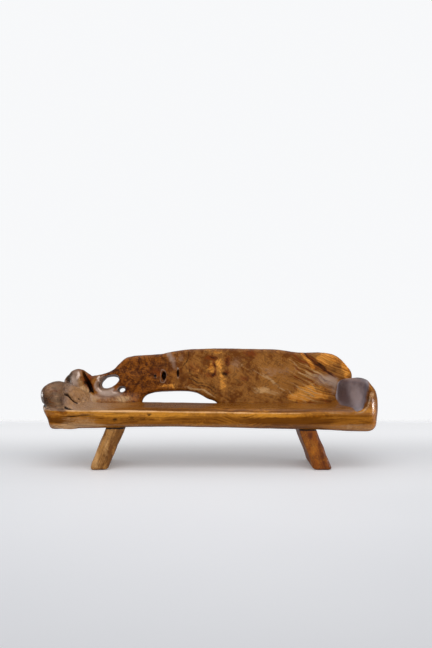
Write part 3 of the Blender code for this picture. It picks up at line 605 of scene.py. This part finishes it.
points = points_of(back_mesh)
points = relaxed(points, edges_of(back_mesh), 25)
flat = on_slab(points)
shift = pulled(flat, [
    ((1.050, 0.220, 0.03), (0.080, 0.070, 0.10), (0.026, 0.004, 0)),
    ((-1.035, 0.225, 0.00), (0.040, 0.050, 0.10), (-0.004, 0.009, 0)),
    ((-0.985, 0.250, 0.00), (0.050, 0.050, 0.10), (0, 0.010, 0)),
    ((-0.900, 0.225, 0.03), (0.035, 0.040, 0.10), (0, -0.012, 0)),
    ((-1.065, 0.150, 0.00), (0.030, 0.035, 0.10), (-0.008, 0, 0)),
    ((-0.810, 0.225, 0.03), (0.060, 0.040, 0.10), (0, 0.020, 0)),
    ((-0.660, 0.320, 0.03), (0.080, 0.060, 0.10), (0, 0.009, 0)),
    ((0.525, 0.410, 0.03), (0.200, 0.060, 0.10), (0, 0.008, 0)),
    ((-0.012, 0.070, 0.03), (0.060, 0.070, 0.10), (0, -0.030, 0)),
]) - flat
points[:, 0] += shift[:, 0]
points += shift[:, 1:2] * np.array(BACK_UP)
set_points(back_mesh, points)
outward = outward_of(back_mesh)
flat = on_slab(points)
LOBE_RIDGE = [(-0.975, 0.235, 0), (-0.960, 0.190, 0), (-0.935, 0.125, 0), (-0.890, 0.080, 0)]
EYE_LIP = [
    (-0.810, 0.200, 0), (-0.836, 0.180, 0), (-0.842, 0.146, 0), (-0.836, 0.104, 0), (-0.811, 0.072, 0),
    (-0.759, 0.058, 0), (-0.701, 0.066, 0), (-0.672, 0.090, 0),
]
SLOPE_MEETS = ((-1.010, -0.968, -0.941, -0.906, -0.872, -0.840), (0.165, 0.135, 0.110, 0.080, 0.050, 0.020))
SMALL_EYE = (-0.646, 0.108, 0.0)
PIT = (-0.401, 0.206, 0.0)
facing = ramp(flat[:, 2], 0.040, 0.020)
flat[:, 2] = 0
burred = ramp(flat[:, 0], -0.15, -0.42) * ramp(flat[:, 0], -0.86, -0.78)
relief = facing * 0.012 * stroke(flat, LOBE_RIDGE, 0.016)
relief += facing * 0.010 * stroke(flat, EYE_LIP, 0.013)
relief -= facing * 0.012 * patch(flat, (-0.785, 0.135, 0), (0.045, 0.045, 0.05))
relief -= facing * 0.009 * patch(flat, SMALL_EYE, (0.030, 0.024, 0.05))
relief -= facing * 0.010 * patch(flat, PIT, (0.008, 0.010, 0.05))
relief += facing * 0.024 * ramp(flat[:, 1], 0.090, 0.0) * ramp(flat[:, 0], -0.46, -0.56)
above = flat[:, 1] - np.interp(flat[:, 0], *SLOPE_MEETS)
sweep = ramp(above, 0.055, -0.005) * ramp(flat[:, 0], -0.800, -0.860) * ramp(flat[:, 0], -1.040, -1.000)
relief += facing * 0.026 * sweep**2
relief += 0.004 * ripple(points, 0.36, 11)
relief += 0.0030 * burred * ripple(points, 0.060, 12)
relief += 0.0008 * ripple(points, 0.030, 13)
points += outward * relief[:, None]
set_points(back_mesh, points)

# Wild grain: in the burr it turns about, and to the right it falls away in long diagonals.
flat = on_slab(points)
GRAIN_FALL = math.radians(31)
fall = GRAIN_FALL + math.radians(40) * (flat[:, 1] - 0.20) * ramp(flat[:, 0], 0.2, 0.9)
wildness = 0.012 + 0.050 * burred
turn_x = ripple(flat, (0.20, 0.12, 0.3), 14) + 0.5 * ripple(flat, 0.06, 15)
turn_z = ripple(flat, (0.20, 0.12, 0.3), 16) + 0.5 * ripple(flat, 0.06, 17)
along = flat[:, 0] * np.cos(fall) - flat[:, 1] * np.sin(fall) + wildness * turn_x
across = flat[:, 0] * np.sin(fall) + flat[:, 1] * np.cos(fall) + wildness * turn_z
store(back_mesh, "grain", np.stack((along, across, flat[:, 2]), axis=1))

torn = flat + 0.016 * np.stack((ripple(flat, 0.07, 18), ripple(flat, 0.07, 19), 0 * along), axis=1)
torn += 0.006 * np.stack((ripple(flat, 0.022, 20), ripple(flat, 0.022, 21), 0 * along), axis=1)
torn[:, 2] = 0
# Patches of the slab's figure as (x, height, half width, half height, strength).
PATCHES = {
    "amber": [
        (0.010, 0.258, 0.020, 0.045, 0.75), (0.072, 0.290, 0.030, 0.048, 0.75), (0.055, 0.385, 0.070, 0.022, 0.42),
        (0.025, 0.320, 0.075, 0.060, 0.02), (0.095, 0.215, 0.030, 0.040, 0.5), (0.110, 0.140, 0.034, 0.055, 0.58), (-0.300, 0.128, 0.060, 0.016, 0.8),
        (-0.090, 0.228, 0.070, 0.050, 0.4), (0.890, 0.335, 0.080, 0.050, 1.5), (1.010, 0.255, 0.030, 0.060, 1.2),
        (0.745, 0.090, 0.100, 0.055, 1.10), (0.640, 0.045, 0.090, 0.030, 0.9), (0.850, 0.050, 0.070, 0.025, 0.5),
        (0.385, 0.098, 0.075, 0.034, 0.60), (-0.500, 0.300, 0.070, 0.030, 0.3),
    ],
    "dark": [
        (0.934, 0.250, 0.042, 0.030, 0.60), (0.440, 0.055, 0.030, 0.040, 0.35), (0.024, 0.215, 0.022, 0.020, 0.74), (0.028, 0.345, 0.040, 0.014, 0.75),
        (0.135, 0.312, 0.020, 0.040, 0.66), (0.112, 0.226, 0.030, 0.020, 0.62), (0.036, 0.285, 0.010, 0.030, 0.75), (0.130, 0.190, 0.030, 0.060, 0.40),
        (-0.400, 0.255, 0.075, 0.062, 0.45), (-0.020, 0.385, 0.030, 0.016, 0.5), (-0.230, 0.170, 0.030, 0.040, 0.4),
        # The first patch below darkens the lobe's left flank as painted shade.
        (-1.035, 0.190, 0.045, 0.065, 0.85), (0.880, 0.300, 0.060, 0.012, 0.4), (0.190, 0.100, 0.080, 0.050, 0.20),
        (0.700, 0.380, 0.030, 0.030, 0.4), (0.560, 0.060, 0.100, 0.030, 0.3),
    ],
    # The grey patches are painted sheen where the varnish catches the room's light: on the burr, the middle, the right
    # corner, the lobe and below the eye.
    "grey_and_sheen": [
        (-0.300, 0.370, 0.034, 0.030, 0.65), (-0.272, 0.325, 0.030, 0.034, 0.65), (-0.255, 0.275, 0.022, 0.030, 0.45),
        (-0.205, 0.340, 0.026, 0.040, 0.45), (0.200, 0.300, 0.060, 0.100, 0.35),
        (0.500, 0.240, 0.170, 0.080, 0.34), (0.840, 0.180, 0.090, 0.060, 0.55), (0.925, 0.140, 0.050, 0.085, 0.55),
        (-1.000, 0.190, 0.060, 0.080, 0.9), (-0.738, 0.074, 0.090, 0.030, 0.95),
    ],
    "red": [
        (0.270, 0.190, 0.070, 0.040, 0.65), (-0.390, 0.235, 0.090, 0.050, 0.7), (0.310, 0.370, 0.080, 0.040, 0.7),
        (0.640, 0.330, 0.080, 0.050, 0.4), (-0.080, 0.240, 0.070, 0.060, 0.5), (-0.150, 0.310, 0.080, 0.080, 0.35),
        (0.015, 0.345, 0.060, 0.020, 0.9), (0.036, 0.285, 0.014, 0.040, 0.9), (0.140, 0.320, 0.032, 0.055, 0.8),
        (0.125, 0.228, 0.040, 0.030, 0.8), (0.020, 0.215, 0.040, 0.026, 0.9),
    ],
    "pale": [
        (0.385, 0.098, 0.075, 0.034, 0.95), (-0.620, 0.035, 0.060, 0.022, 0.7),
        (0.240, 0.280, 0.020, 0.020, 0.5), (0.500, 0.085, 0.070, 0.022, 0.50), (0.750, 0.080, 0.080, 0.050, 0.35),
    ],
}
# Lines of the figure as (path, half width, strength).
LINES = {
    "amber": [([(0.680, 0.390), (0.730, 0.320), (0.780, 0.258)], 0.016, 1.0)],
    "dark": [
        ([(0.690, 0.392), (0.763, 0.325), (0.830, 0.269), (0.901, 0.228), (0.956, 0.191)], 0.010, 0.72),
        ([(0.735, 0.385), (0.786, 0.333), (0.823, 0.292), (0.875, 0.255)], 0.008, 0.60),
        ([(0.745, 0.163), (0.800, 0.115), (0.857, 0.065)], 0.010, 0.52),
        ([(0.715, 0.070), (0.755, 0.040), (0.790, 0.015)], 0.010, 0.52),
        ([(0.773, 0.190), (0.860, 0.140), (0.946, 0.090)], 0.010, 0.50),
        ([(0.790, 0.225), (0.870, 0.175), (0.950, 0.130)], 0.008, 0.48),
        ([(0.690, 0.230), (0.780, 0.200), (0.880, 0.160)], 0.008, 0.46),
        # The next two lines darken the deep fold as painted shade.
        ([(-0.937, 0.236), (-0.918, 0.184), (-0.902, 0.140)], 0.010, 0.30),
        ([(-0.916, 0.172), (-0.897, 0.125), (-0.876, 0.080)], 0.013, 1.1),
        ([(-0.172, 0.395), (-0.161, 0.340), (-0.172, 0.303), (-0.210, 0.273)], 0.006, 0.8),
        ([(-0.243, 0.390), (-0.246, 0.330), (-0.240, 0.280)], 0.006, 0.6),
        ([(-0.185, 0.196), (-0.102, 0.167), (-0.019, 0.142), (0.063, 0.097)], 0.007, 0.78),
        ([(-0.160, 0.155), (-0.069, 0.134), (0.014, 0.101), (0.080, 0.047)], 0.007, 0.72),
        ([(-0.150, 0.290), (-0.155, 0.235), (-0.115, 0.195), (-0.050, 0.178)], 0.007, 0.70),
    ],
    "red": [
        ([(0.690, 0.400), (0.740, 0.345), (0.810, 0.290), (0.860, 0.255), (0.905, 0.226), (0.978, 0.190)], 0.024, 0.7),
        ([(-0.893, 0.230), (-0.893, 0.158), (-0.880, 0.080)], 0.040, 0.9),
    ],
    "pale": [
        ([(0.235, 0.285), (0.340, 0.236), (0.443, 0.190), (0.560, 0.087)], 0.014, 0.50),
        ([(0.360, 0.280), (0.420, 0.220), (0.487, 0.139)], 0.014, 0.32),
        ([(0.300, 0.300), (0.420, 0.260), (0.540, 0.190)], 0.014, 0.34),
        ([(0.600, 0.290), (0.690, 0.220), (0.800, 0.180)], 0.020, 0.40),
        ([(-0.185, 0.130), (-0.077, 0.105), (-0.011, 0.072), (0.047, 0.035)], 0.010, 0.95),
        ([(0.720, 0.235), (0.810, 0.185), (0.900, 0.130)], 0.010, 0.70),
        ([(0.770, 0.245), (0.860, 0.198), (0.930, 0.160)], 0.009, 0.65),
        ([(-0.965, 0.200), (-0.945, 0.150), (-0.915, 0.095), (-0.880, 0.050)], 0.024, 0.70),
    ],
}
# Rims and insides of the holes as (x, height, half width, half height).
HOLES = [
    (-0.335, 0.207, 0.017, 0.033), (-0.232, 0.228, 0.008, 0.031), (-0.401, 0.206, 0.009, 0.011),
    (-0.646, 0.108, 0.020, 0.014),
]
# Fine dark and pale lines fall with the grain through the slab's right half.
FINE_LEVELS = np.arange(0.380, 0.640, 0.0165)
for number, level in enumerate(FINE_LEVELS):
    begin = 0.560 + 0.045 * (number * 7 % 4)
    spots = np.linspace(begin, begin + 0.20 + 0.03 * (number % 3), 4)
    path = [(spot, (level - spot * math.sin(GRAIN_FALL)) / math.cos(GRAIN_FALL)) for spot in spots]
    LINES["red" if number % 2 else "pale"].append((path, 0.006, 0.85 if number % 2 else 0.62))
paint = {channel: np.zeros(len(points)) for channel in ("amber", "dark", "grey_and_sheen", "red", "pale")}
for channel, places in PATCHES.items():
    for x, height, wide, tall, strength in places:
        paint[channel] += strength * patch(torn, (x, height, 0), (wide, tall, 1))
for channel, lines in LINES.items():
    for path, width, strength in lines:
        paint[channel] += strength * stroke(torn, [(x, height, 0) for x, height in path], width, 0.15)
for x, height, wide, tall in HOLES:
    reach = np.hypot((flat[:, 0] - x) / wide, (flat[:, 1] - height) / tall)
    # Painted shade inside each hole, and a grey rim round it.
    paint["dark"] += ramp(reach, 1.15, 0.85)
    frayed = np.hypot((torn[:, 0] - x) / wide, (torn[:, 1] - height) / tall)
    paint["grey_and_sheen"] += 0.62 * np.exp(-(((frayed - 1.40) / 0.24) ** 2))
heel = ramp(flat[:, 1], 0.090, 0.045) * ramp(flat[:, 0], -0.52, -0.68)
paint["pale"] += 0.75 * sweep + 0.36 * heel
paint["grey_and_sheen"] += 0.25 * sweep + 0.25 * heel
# The eye's flared rim is grey with painted sheen on its left and lower side, in painted shading lighter outside and
# darker inside, with a painted shadow as a dark line close to the hole.
EYE = (-0.730, 0.169)
EYE_TILT = math.radians(25)
from_eye = flat[:, :2] - np.array(EYE)
long_way = from_eye @ np.array((math.cos(EYE_TILT), math.sin(EYE_TILT)))
short_way = from_eye @ np.array((-math.sin(EYE_TILT), math.cos(EYE_TILT)))
reach = np.hypot(long_way / 0.068, short_way / 0.036)
flare = ramp(0.8 * from_eye[:, 0] + 0.6 * from_eye[:, 1], 0.010, -0.030)
paint["grey_and_sheen"] += 0.75 * flare * ramp(reach, 2.15, 1.65)
rim_tone = flare * (0.30 * np.exp(-(((reach - 1.95) / 0.25) ** 2)) - 0.35 * np.exp(-(((reach - 1.40) / 0.22) ** 2)))
paint["dark"] += (0.3 + 0.5 * flare) * np.exp(-(((reach - 1.05) / 0.16) ** 2))
streaky = 0.18 + 0.10 * ramp(flat[:, 0], 0.12, 0.30) + 0.60 * ramp(flat[:, 0], 0.52, 0.75) - 0.10 * burred
rise = convexity(back_mesh)
fold_top = patch(flat, (-0.930, 0.215, 0), (0.030, 0.050, 9))
# Painted shade: the slab is darker in its hollows and folds, less so at the top of the fold and on the heel.
paint["dark"] += 0.80 * ramp(rise, -0.00006, -0.00045) * (1 - 0.6 * fold_top) * (1 - 0.8 * heel)
# Edges that stand proud are paler, partly as wear and partly as painted highlight; the gleams are painted highlights
# on the lobe's ridge and round the eye.
wear_and_highlight = 0.15 * ramp(rise, 0.00018, 0.00080)
GLEAMS = [
    ([(-0.974, 0.238), (-0.962, 0.205), (-0.962, 0.164)], 0.010, 1.4),
    ([(-0.800, 0.206), (-0.822, 0.186), (-0.812, 0.164)], 0.009, 1.1),
    ([(-0.826, 0.126), (-0.807, 0.099), (-0.782, 0.083)], 0.009, 1.0),
    ([(-0.716, 0.096), (-0.700, 0.082), (-0.683, 0.070)], 0.007, 0.8),
]
for path, width, strength in GLEAMS:
    wear_and_highlight += strength * stroke(torn, [(x, height, 0) for x, height in path], width)
figure = np.stack((paint["amber"], paint["dark"], paint["grey_and_sheen"], burred * (1 - 0.7 * heel)), axis=1)
tint = np.stack((paint["red"], paint["pale"], wear_and_highlight, streaky), axis=1)
# Broad lighter and darker areas as (x, height, half width, half height, strength).
TONES = [
    (0.400, 0.200, 0.220, 0.200, 0.12), (-0.060, 0.320, 0.100, 0.100, -0.06),
    (-0.400, 0.280, 0.075, 0.075, -0.18), (0.840, 0.180, 0.110, 0.060, 0.22), (0.720, 0.085, 0.090, 0.055, 0.12), (0.220, 0.330, 0.090, 0.070, -0.11),
    (-0.740, 0.066, 0.100, 0.030, 0.06), (0.560, 0.380, 0.200, 0.060, -0.05),
]
tone = rim_tone + 0.20 * sweep + sum(strength * patch(torn, (x, height, 0), (wide, tall, 1)) for x, height, wide, tall, strength in TONES)
store(back_mesh, "figure", np.clip(figure, 0, 1))
store(back_mesh, "tint", np.clip(tint, 0, 1))
store(back_mesh, "tone", tone)

BACK_COLOURS = {
    "heart": "#703b05", "light": "#a56b2a", "amber": "#b96910", "honey": "#ec9f3e", "grey_and_sheen": "#846650",
    "silver": "#b59c8c", "red": "#7f3a03", "pale": "#cfa571", "line": "#451e03", "dark": "#1e0b02",
    "wear_and_highlight": "#d9bfae", "burr_dark": "#481e02", "burr_light": "#98550c",
}
back = bpy.data.objects.new("burl_back", back_mesh)
bpy.context.scene.collection.objects.link(back)
back_mesh.materials.clear()
back_mesh.materials.append(varnished_wood("varnished_burl", BACK_COLOURS, 0.24, 0.20))
back_mesh.shade_smooth()
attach(back, "root")
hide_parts("back_slab")

# Slab legs: two thick planks splayed under the trunk, cut level at the floor.
# They are hewn from straighter wood with the fibres running down the leg, and varnished thinner.
LEG_VOXEL = 0.005
LEG_SPLAY = math.tan(math.radians(18.5))
FOOT_ROUND = 0.018
# Sideways shifts of each leg's left and right edge at these heights: the hewn planks bend a little.
LEG_LEVELS = (0.0, 0.045, 0.100, 0.150, 0.210, 0.260)
LEG_BENDS = {
    "left": ((-0.010, -0.013, -0.008, -0.007, -0.002, 0.0), (-0.015, -0.010, -0.002, -0.002, 0.006, 0.010)),
    "right": ((0.004, 0.004, 0.0, -0.003, -0.004, -0.002), (0.012, 0.006, -0.001, 0.001, -0.008, -0.006)),
}
LEG_COLOURS = {
    "left": {
        "heart": "#80501a", "light": "#ba8344", "amber": "#b67e3a", "honey": "#d6a265", "grey_and_sheen": "#7d6350",
        "silver": "#93796a", "red": "#6f3e0d", "pale": "#b8905c", "line": "#432206", "dark": "#1c0c04",
        "wear_and_highlight": "#c09460", "burr_dark": "#5b371c", "burr_light": "#8a6038",
    },
    "right": {
        "heart": "#662e00", "light": "#924b04", "amber": "#944d02", "honey": "#b66c14", "grey_and_sheen": "#7d6350",
        "silver": "#93796a", "red": "#6b2d03", "pale": "#b07a40", "line": "#3c1a02", "dark": "#1a0902",
        "wear_and_highlight": "#95602a", "burr_dark": "#5b371c", "burr_light": "#8a6038",
    },
}
# Painted shade: how much darker each leg is on its right side and at its top.
LEG_SHADES = {"left": (0.24, 0.0), "right": (0.06, 0.16)}
for seed, (side, foot_x, inward, top) in enumerate((("left", -0.753, 1, 0.289), ("right", 0.774, -1, 0.278)), 21):
    node = f"{side}_leg"
    plugs = {other: [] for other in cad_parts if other.startswith(side) and other.endswith("wedge")}
    leg_mesh = fine_copy(node, plugs, LEG_VOXEL)
    points = relaxed(points_of(leg_mesh), edges_of(leg_mesh), 30)
    set_points(leg_mesh, points)
    outward = outward_of(leg_mesh)
    offset = points[:, 0] - foot_x - inward * LEG_SPLAY * points[:, 2]
    shown = ramp(points[:, 2], 0.0, 0.03)
    relief = shown * (0.0035 * ripple(points, 0.12, seed) + 0.0012 * ripple(points, 0.035, seed + 2))
    points += outward * relief[:, None]
    side_share = np.clip(0.5 + offset / 0.12, 0, 1)
    low_edge, high_edge = (np.interp(points[:, 2], LEG_LEVELS, shifts) for shifts in LEG_BENDS[side])
    points[:, 0] += low_edge + side_share * (high_edge - low_edge)
    inset = FOOT_ROUND - np.sqrt(FOOT_ROUND**2 - np.clip(FOOT_ROUND - points[:, 2], 0, FOOT_ROUND) ** 2)
    points[:, 0] -= np.sign(offset) * inset * ramp(np.abs(offset), 0.025, 0.055)
    points[:, 1] += inset * ramp(points[:, 1], -0.20, -0.26)
    points[:, 2] = np.maximum(points[:, 2], 0)
    set_points(leg_mesh, points)
    wave = 0.012 * ripple(points, (0.08, 0.08, 0.25), seed + 4)
    store(leg_mesh, "grain", np.stack((points[:, 2], offset + wave, points[:, 1] + wave), axis=1))
    amber = 0.45 + 0.6 * ripple(points, (0.04, 0.10, 0.15), seed + 6)
    # Painted shadow: dark just under the trunk at each leg's top, and darker at the foot by the floor.
    dark = 0.3 * ramp(points[:, 2], 0.015, 0.0) + 1.1 * ramp(points[:, 2], top - 0.014, top - 0.002)
    red = 0.3 + 0.5 * ripple(points, (0.03, 0.08, 0.12), seed + 8)
    none = np.zeros(len(points))
    # Edges that stand proud are paler, partly as wear and partly as painted highlight.
    wear_and_highlight = ramp(convexity(leg_mesh), 0.00020, 0.00080)
    store(leg_mesh, "figure", np.clip(np.stack((amber, dark, none, none), axis=1), 0, 1))
    store(leg_mesh, "tint", np.clip(np.stack((red, none, 0.6 * wear_and_highlight, none + 0.55), axis=1), 0, 1))
    right_dark, top_dark = LEG_SHADES[side]
    # Painted shading: each leg lighter on its left side and darker on its right and near its top.
    tone = 0.12 * ramp(offset, 0.020, -0.045) - right_dark * ramp(offset, 0.015, 0.055)
    store(leg_mesh, "tone", tone - top_dark * ramp(points[:, 2], 0.170, 0.260))
    leg = bpy.data.objects.new(f"{side}_slab_leg", leg_mesh)
    bpy.context.scene.collection.objects.link(leg)
    leg_mesh.materials.clear()
    leg_mesh.materials.append(varnished_wood(f"varnished_{side}_leg_wood", LEG_COLOURS[side], 0.42, 0.04))
    leg_mesh.shade_smooth()
    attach(leg, "root")
    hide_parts(node)

# Pegs, dowels, tenons and wedges: turned and split from dark straight-grained hardwood, left bare.
# Only the rounded-off ends of pegs and dowels show at the rear, where the end grain looks darker.
JOINT_RING = 0.0022
JOINT_PORE = 0.0009
joint = bpy.data.materials.new("bare_joint_wood")
joint.use_nodes = True
tree = joint.node_tree
place = add(tree, "TexCoord", {}).outputs["Object"]
rings = add(tree, "TexNoise", {"Vector": place, "Scale": 1 / JOINT_RING / 4, "Detail": 3.0, "Roughness": 0.6}).outputs["Fac"]
pores = add(tree, "TexVoronoi", {"Vector": place, "Scale": 1 / JOINT_PORE / 3}).outputs["Distance"]
tone = add(tree, "Mix", {0: rings, 6: linear("#3f220d"), 7: linear("#8a5a2c")}, data_type="RGBA").outputs[2]
hole = add(tree, "MapRange", {"Value": pores, "From Min": 0.25, "From Max": 0.10, "To Min": 0.0, "To Max": 0.7}).outputs["Result"]
tone = add(tree, "Mix", {0: hole, 6: tone, 7: linear("#241005")}, data_type="RGBA").outputs[2]
bump = add(tree, "Bump", {"Height": pores, "Strength": 0.3, "Distance": 0.0004})
matt = add(tree, "MapRange", {"Value": rings, "From Min": 0.3, "From Max": 0.7, "To Min": 0.42, "To Max": 0.60}).outputs["Result"]
shader = tree.nodes["Principled BSDF"]
tree.links.new(tone, shader.inputs["Base Color"])
tree.links.new(matt, shader.inputs["Roughness"])
tree.links.new(bump.outputs["Normal"], shader.inputs["Normal"])
for node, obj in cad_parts.items():
    if node.endswith(("dowel", "wedge")) or "_peg_" in node or "_tenon_" in node:
        for slot in obj.material_slots:
            slot.material = joint

# Studio: a pale painted floor that ends at a white wall, under one broad soft light overhead.
# Two strips at the sides give the varnish its bright lines, and the room before the bench is dim.
FLOOR_END = 2.30
FLOOR_FADE = 0.20
NEAR_GLOW = 0.145
FAR_GLOW = 0.38
bm = bmesh.new()
bmesh.ops.create_grid(bm, x_segments=1, y_segments=1, size=1)
bmesh.ops.scale(bm, verts=bm.verts, vec=(9, 7, 1))
bmesh.ops.translate(bm, verts=bm.verts, vec=(0, FLOOR_END + FLOOR_FADE - 7, 0))
floor_mesh = bpy.data.meshes.new("studio_floor")
bm.to_mesh(floor_mesh)
bm.free()
floor = bpy.data.objects.new("studio_floor", floor_mesh)
bpy.context.scene.collection.objects.link(floor)
painted = bpy.data.materials.new("pale_floor_paint")
painted.use_nodes = True
tree = painted.node_tree
shader = tree.nodes["Principled BSDF"]
place = add(tree, "TexCoord", {}).outputs["Object"]
depth = add(tree, "SeparateXYZ", {"Vector": place}).outputs["Y"]
shade = add(tree, "TexNoise", {"Vector": place, "Scale": 0.8, "Detail": 2.0}).outputs["Fac"]
paint = add(tree, "Mix", {0: shade, 6: linear("#e2e3e7"), 7: linear("#e7e8eb")}, data_type="RGBA").outputs[2]
tree.links.new(paint, shader.inputs["Base Color"])
shader.inputs["Roughness"].default_value = 0.55
gone = add(tree, "MapRange", {
    "Value": depth, "From Min": FLOOR_END - FLOOR_FADE, "From Max": FLOOR_END + FLOOR_FADE, "To Min": 1.0, "To Max": 0.0,
}, interpolation_type="SMOOTHSTEP").outputs["Result"]
tree.links.new(gone, shader.inputs["Alpha"])
# Painted light: seen from the camera the floor glows, a little in front of the bench and more towards the wall.
far = add(tree, "MapRange", {
    "Value": depth, "From Min": 0.2, "From Max": 1.6, "To Min": 0.0, "To Max": FAR_GLOW - NEAR_GLOW,
}, interpolation_type="SMOOTHSTEP").outputs["Result"]
near = add(tree, "MapRange", {
    "Value": depth, "From Min": -2.6, "From Max": -0.3, "To Min": 0.0, "To Max": NEAR_GLOW,
}, interpolation_type="SMOOTHSTEP").outputs["Result"]
far = add(tree, "Math", {0: far, 1: near}, operation="ADD").outputs[0]
seen = add(tree, "LightPath", {}).outputs["Is Camera Ray"]
glow = add(tree, "Math", {0: far, 1: seen}, operation="MULTIPLY").outputs[0]
shader.inputs["Emission Color"].default_value = (1, 1, 1, 1)
tree.links.new(glow, shader.inputs["Emission Strength"])
floor_mesh.materials.append(painted)

world = bpy.data.worlds.new("white_studio")
bpy.context.scene.world = world
world.use_nodes = True
tree = world.node_tree
rays = add(tree, "LightPath", {})
sky = add(tree, "SeparateXYZ", {"Vector": add(tree, "TexCoord", {}).outputs["Generated"]})
high = add(tree, "MapRange", {"Value": sky.outputs["Z"], "From Min": 0.50, "From Max": 0.95, "To Min": 0.0, "To Max": 1.0}, interpolation_type="SMOOTHSTEP").outputs["Result"]
behind = add(tree, "MapRange", {"Value": sky.outputs["Y"], "From Min": -0.25, "From Max": 0.25, "To Min": 0.0, "To Max": 1.0}, interpolation_type="SMOOTHSTEP").outputs["Result"]
behind = add(tree, "Math", {0: behind, 1: 0.10}, operation="MULTIPLY").outputs[0]
bright = add(tree, "Math", {0: high, 1: behind}, operation="MAXIMUM").outputs[0]
mirrored = add(tree, "MapRange", {"Value": bright, "To Min": 0.03, "To Max": 0.95}).outputs["Result"]
glossy = add(tree, "Math", {0: rays.outputs["Is Glossy Ray"], 1: rays.outputs["Is Transmission Ray"]}, operation="MAXIMUM").outputs[0]
AMBIENT = 0.53
level = add(tree, "Mix", {0: glossy, 2: AMBIENT, 3: mirrored}, data_type="FLOAT").outputs[0]
WALL = 0.955
level = add(tree, "Mix", {0: rays.outputs["Is Camera Ray"], 2: level, 3: WALL}, data_type="FLOAT").outputs[0]
backing = tree.nodes["Background"]
backing.inputs["Color"].default_value = (0.978, 0.986, 1, 1)
tree.links.new(level, backing.inputs["Strength"])

LAMPS = {
    "overhead_softbox": ((0.0, -2.2, 3.0), (0.0, 0.0, 0.3), (4.6, 2.6), 72, 180),
    "left_strip": ((-2.6, 0.5, 0.55), (-1.1, -0.1, 0.5), (0.30, 0.4), 0.5, 50),
    "right_strip": ((2.5, -0.4, 0.32), (1.1, -0.1, 0.40), (1.30, 0.09), 1.9, 50),
}
for name, (spot, target, (wide, tall), power, spread) in LAMPS.items():
    lamp = bpy.data.lights.new(name, "AREA")
    lamp.shape = "RECTANGLE"
    lamp.size = wide
    lamp.size_y = tall
    lamp.energy = power
    lamp.spread = math.radians(spread)
    holder = bpy.data.objects.new(name, lamp)
    bpy.context.scene.collection.objects.link(holder)
    holder.visible_glossy = name != "overhead_softbox"
    holder.location = spot
    holder.rotation_euler = (Vector(target) - Vector(spot)).to_track_quat("-Z", "Y").to_euler()

# Camera: level, a little right of the bench's middle, at the height of a seated photographer's eyes.
camera_data = bpy.data.cameras.new("camera")
camera_data.sensor_width = 36
camera_data.lens = 41.03
camera = bpy.data.objects.new("camera", camera_data)
bpy.context.scene.collection.objects.link(camera)
camera.location = (0.05, -5.29, 1.0)
camera.rotation_euler = (math.radians(90), 0, 0)
bpy.context.scene.camera = camera
bpy.context.scene.view_settings.view_transform = "Standard"
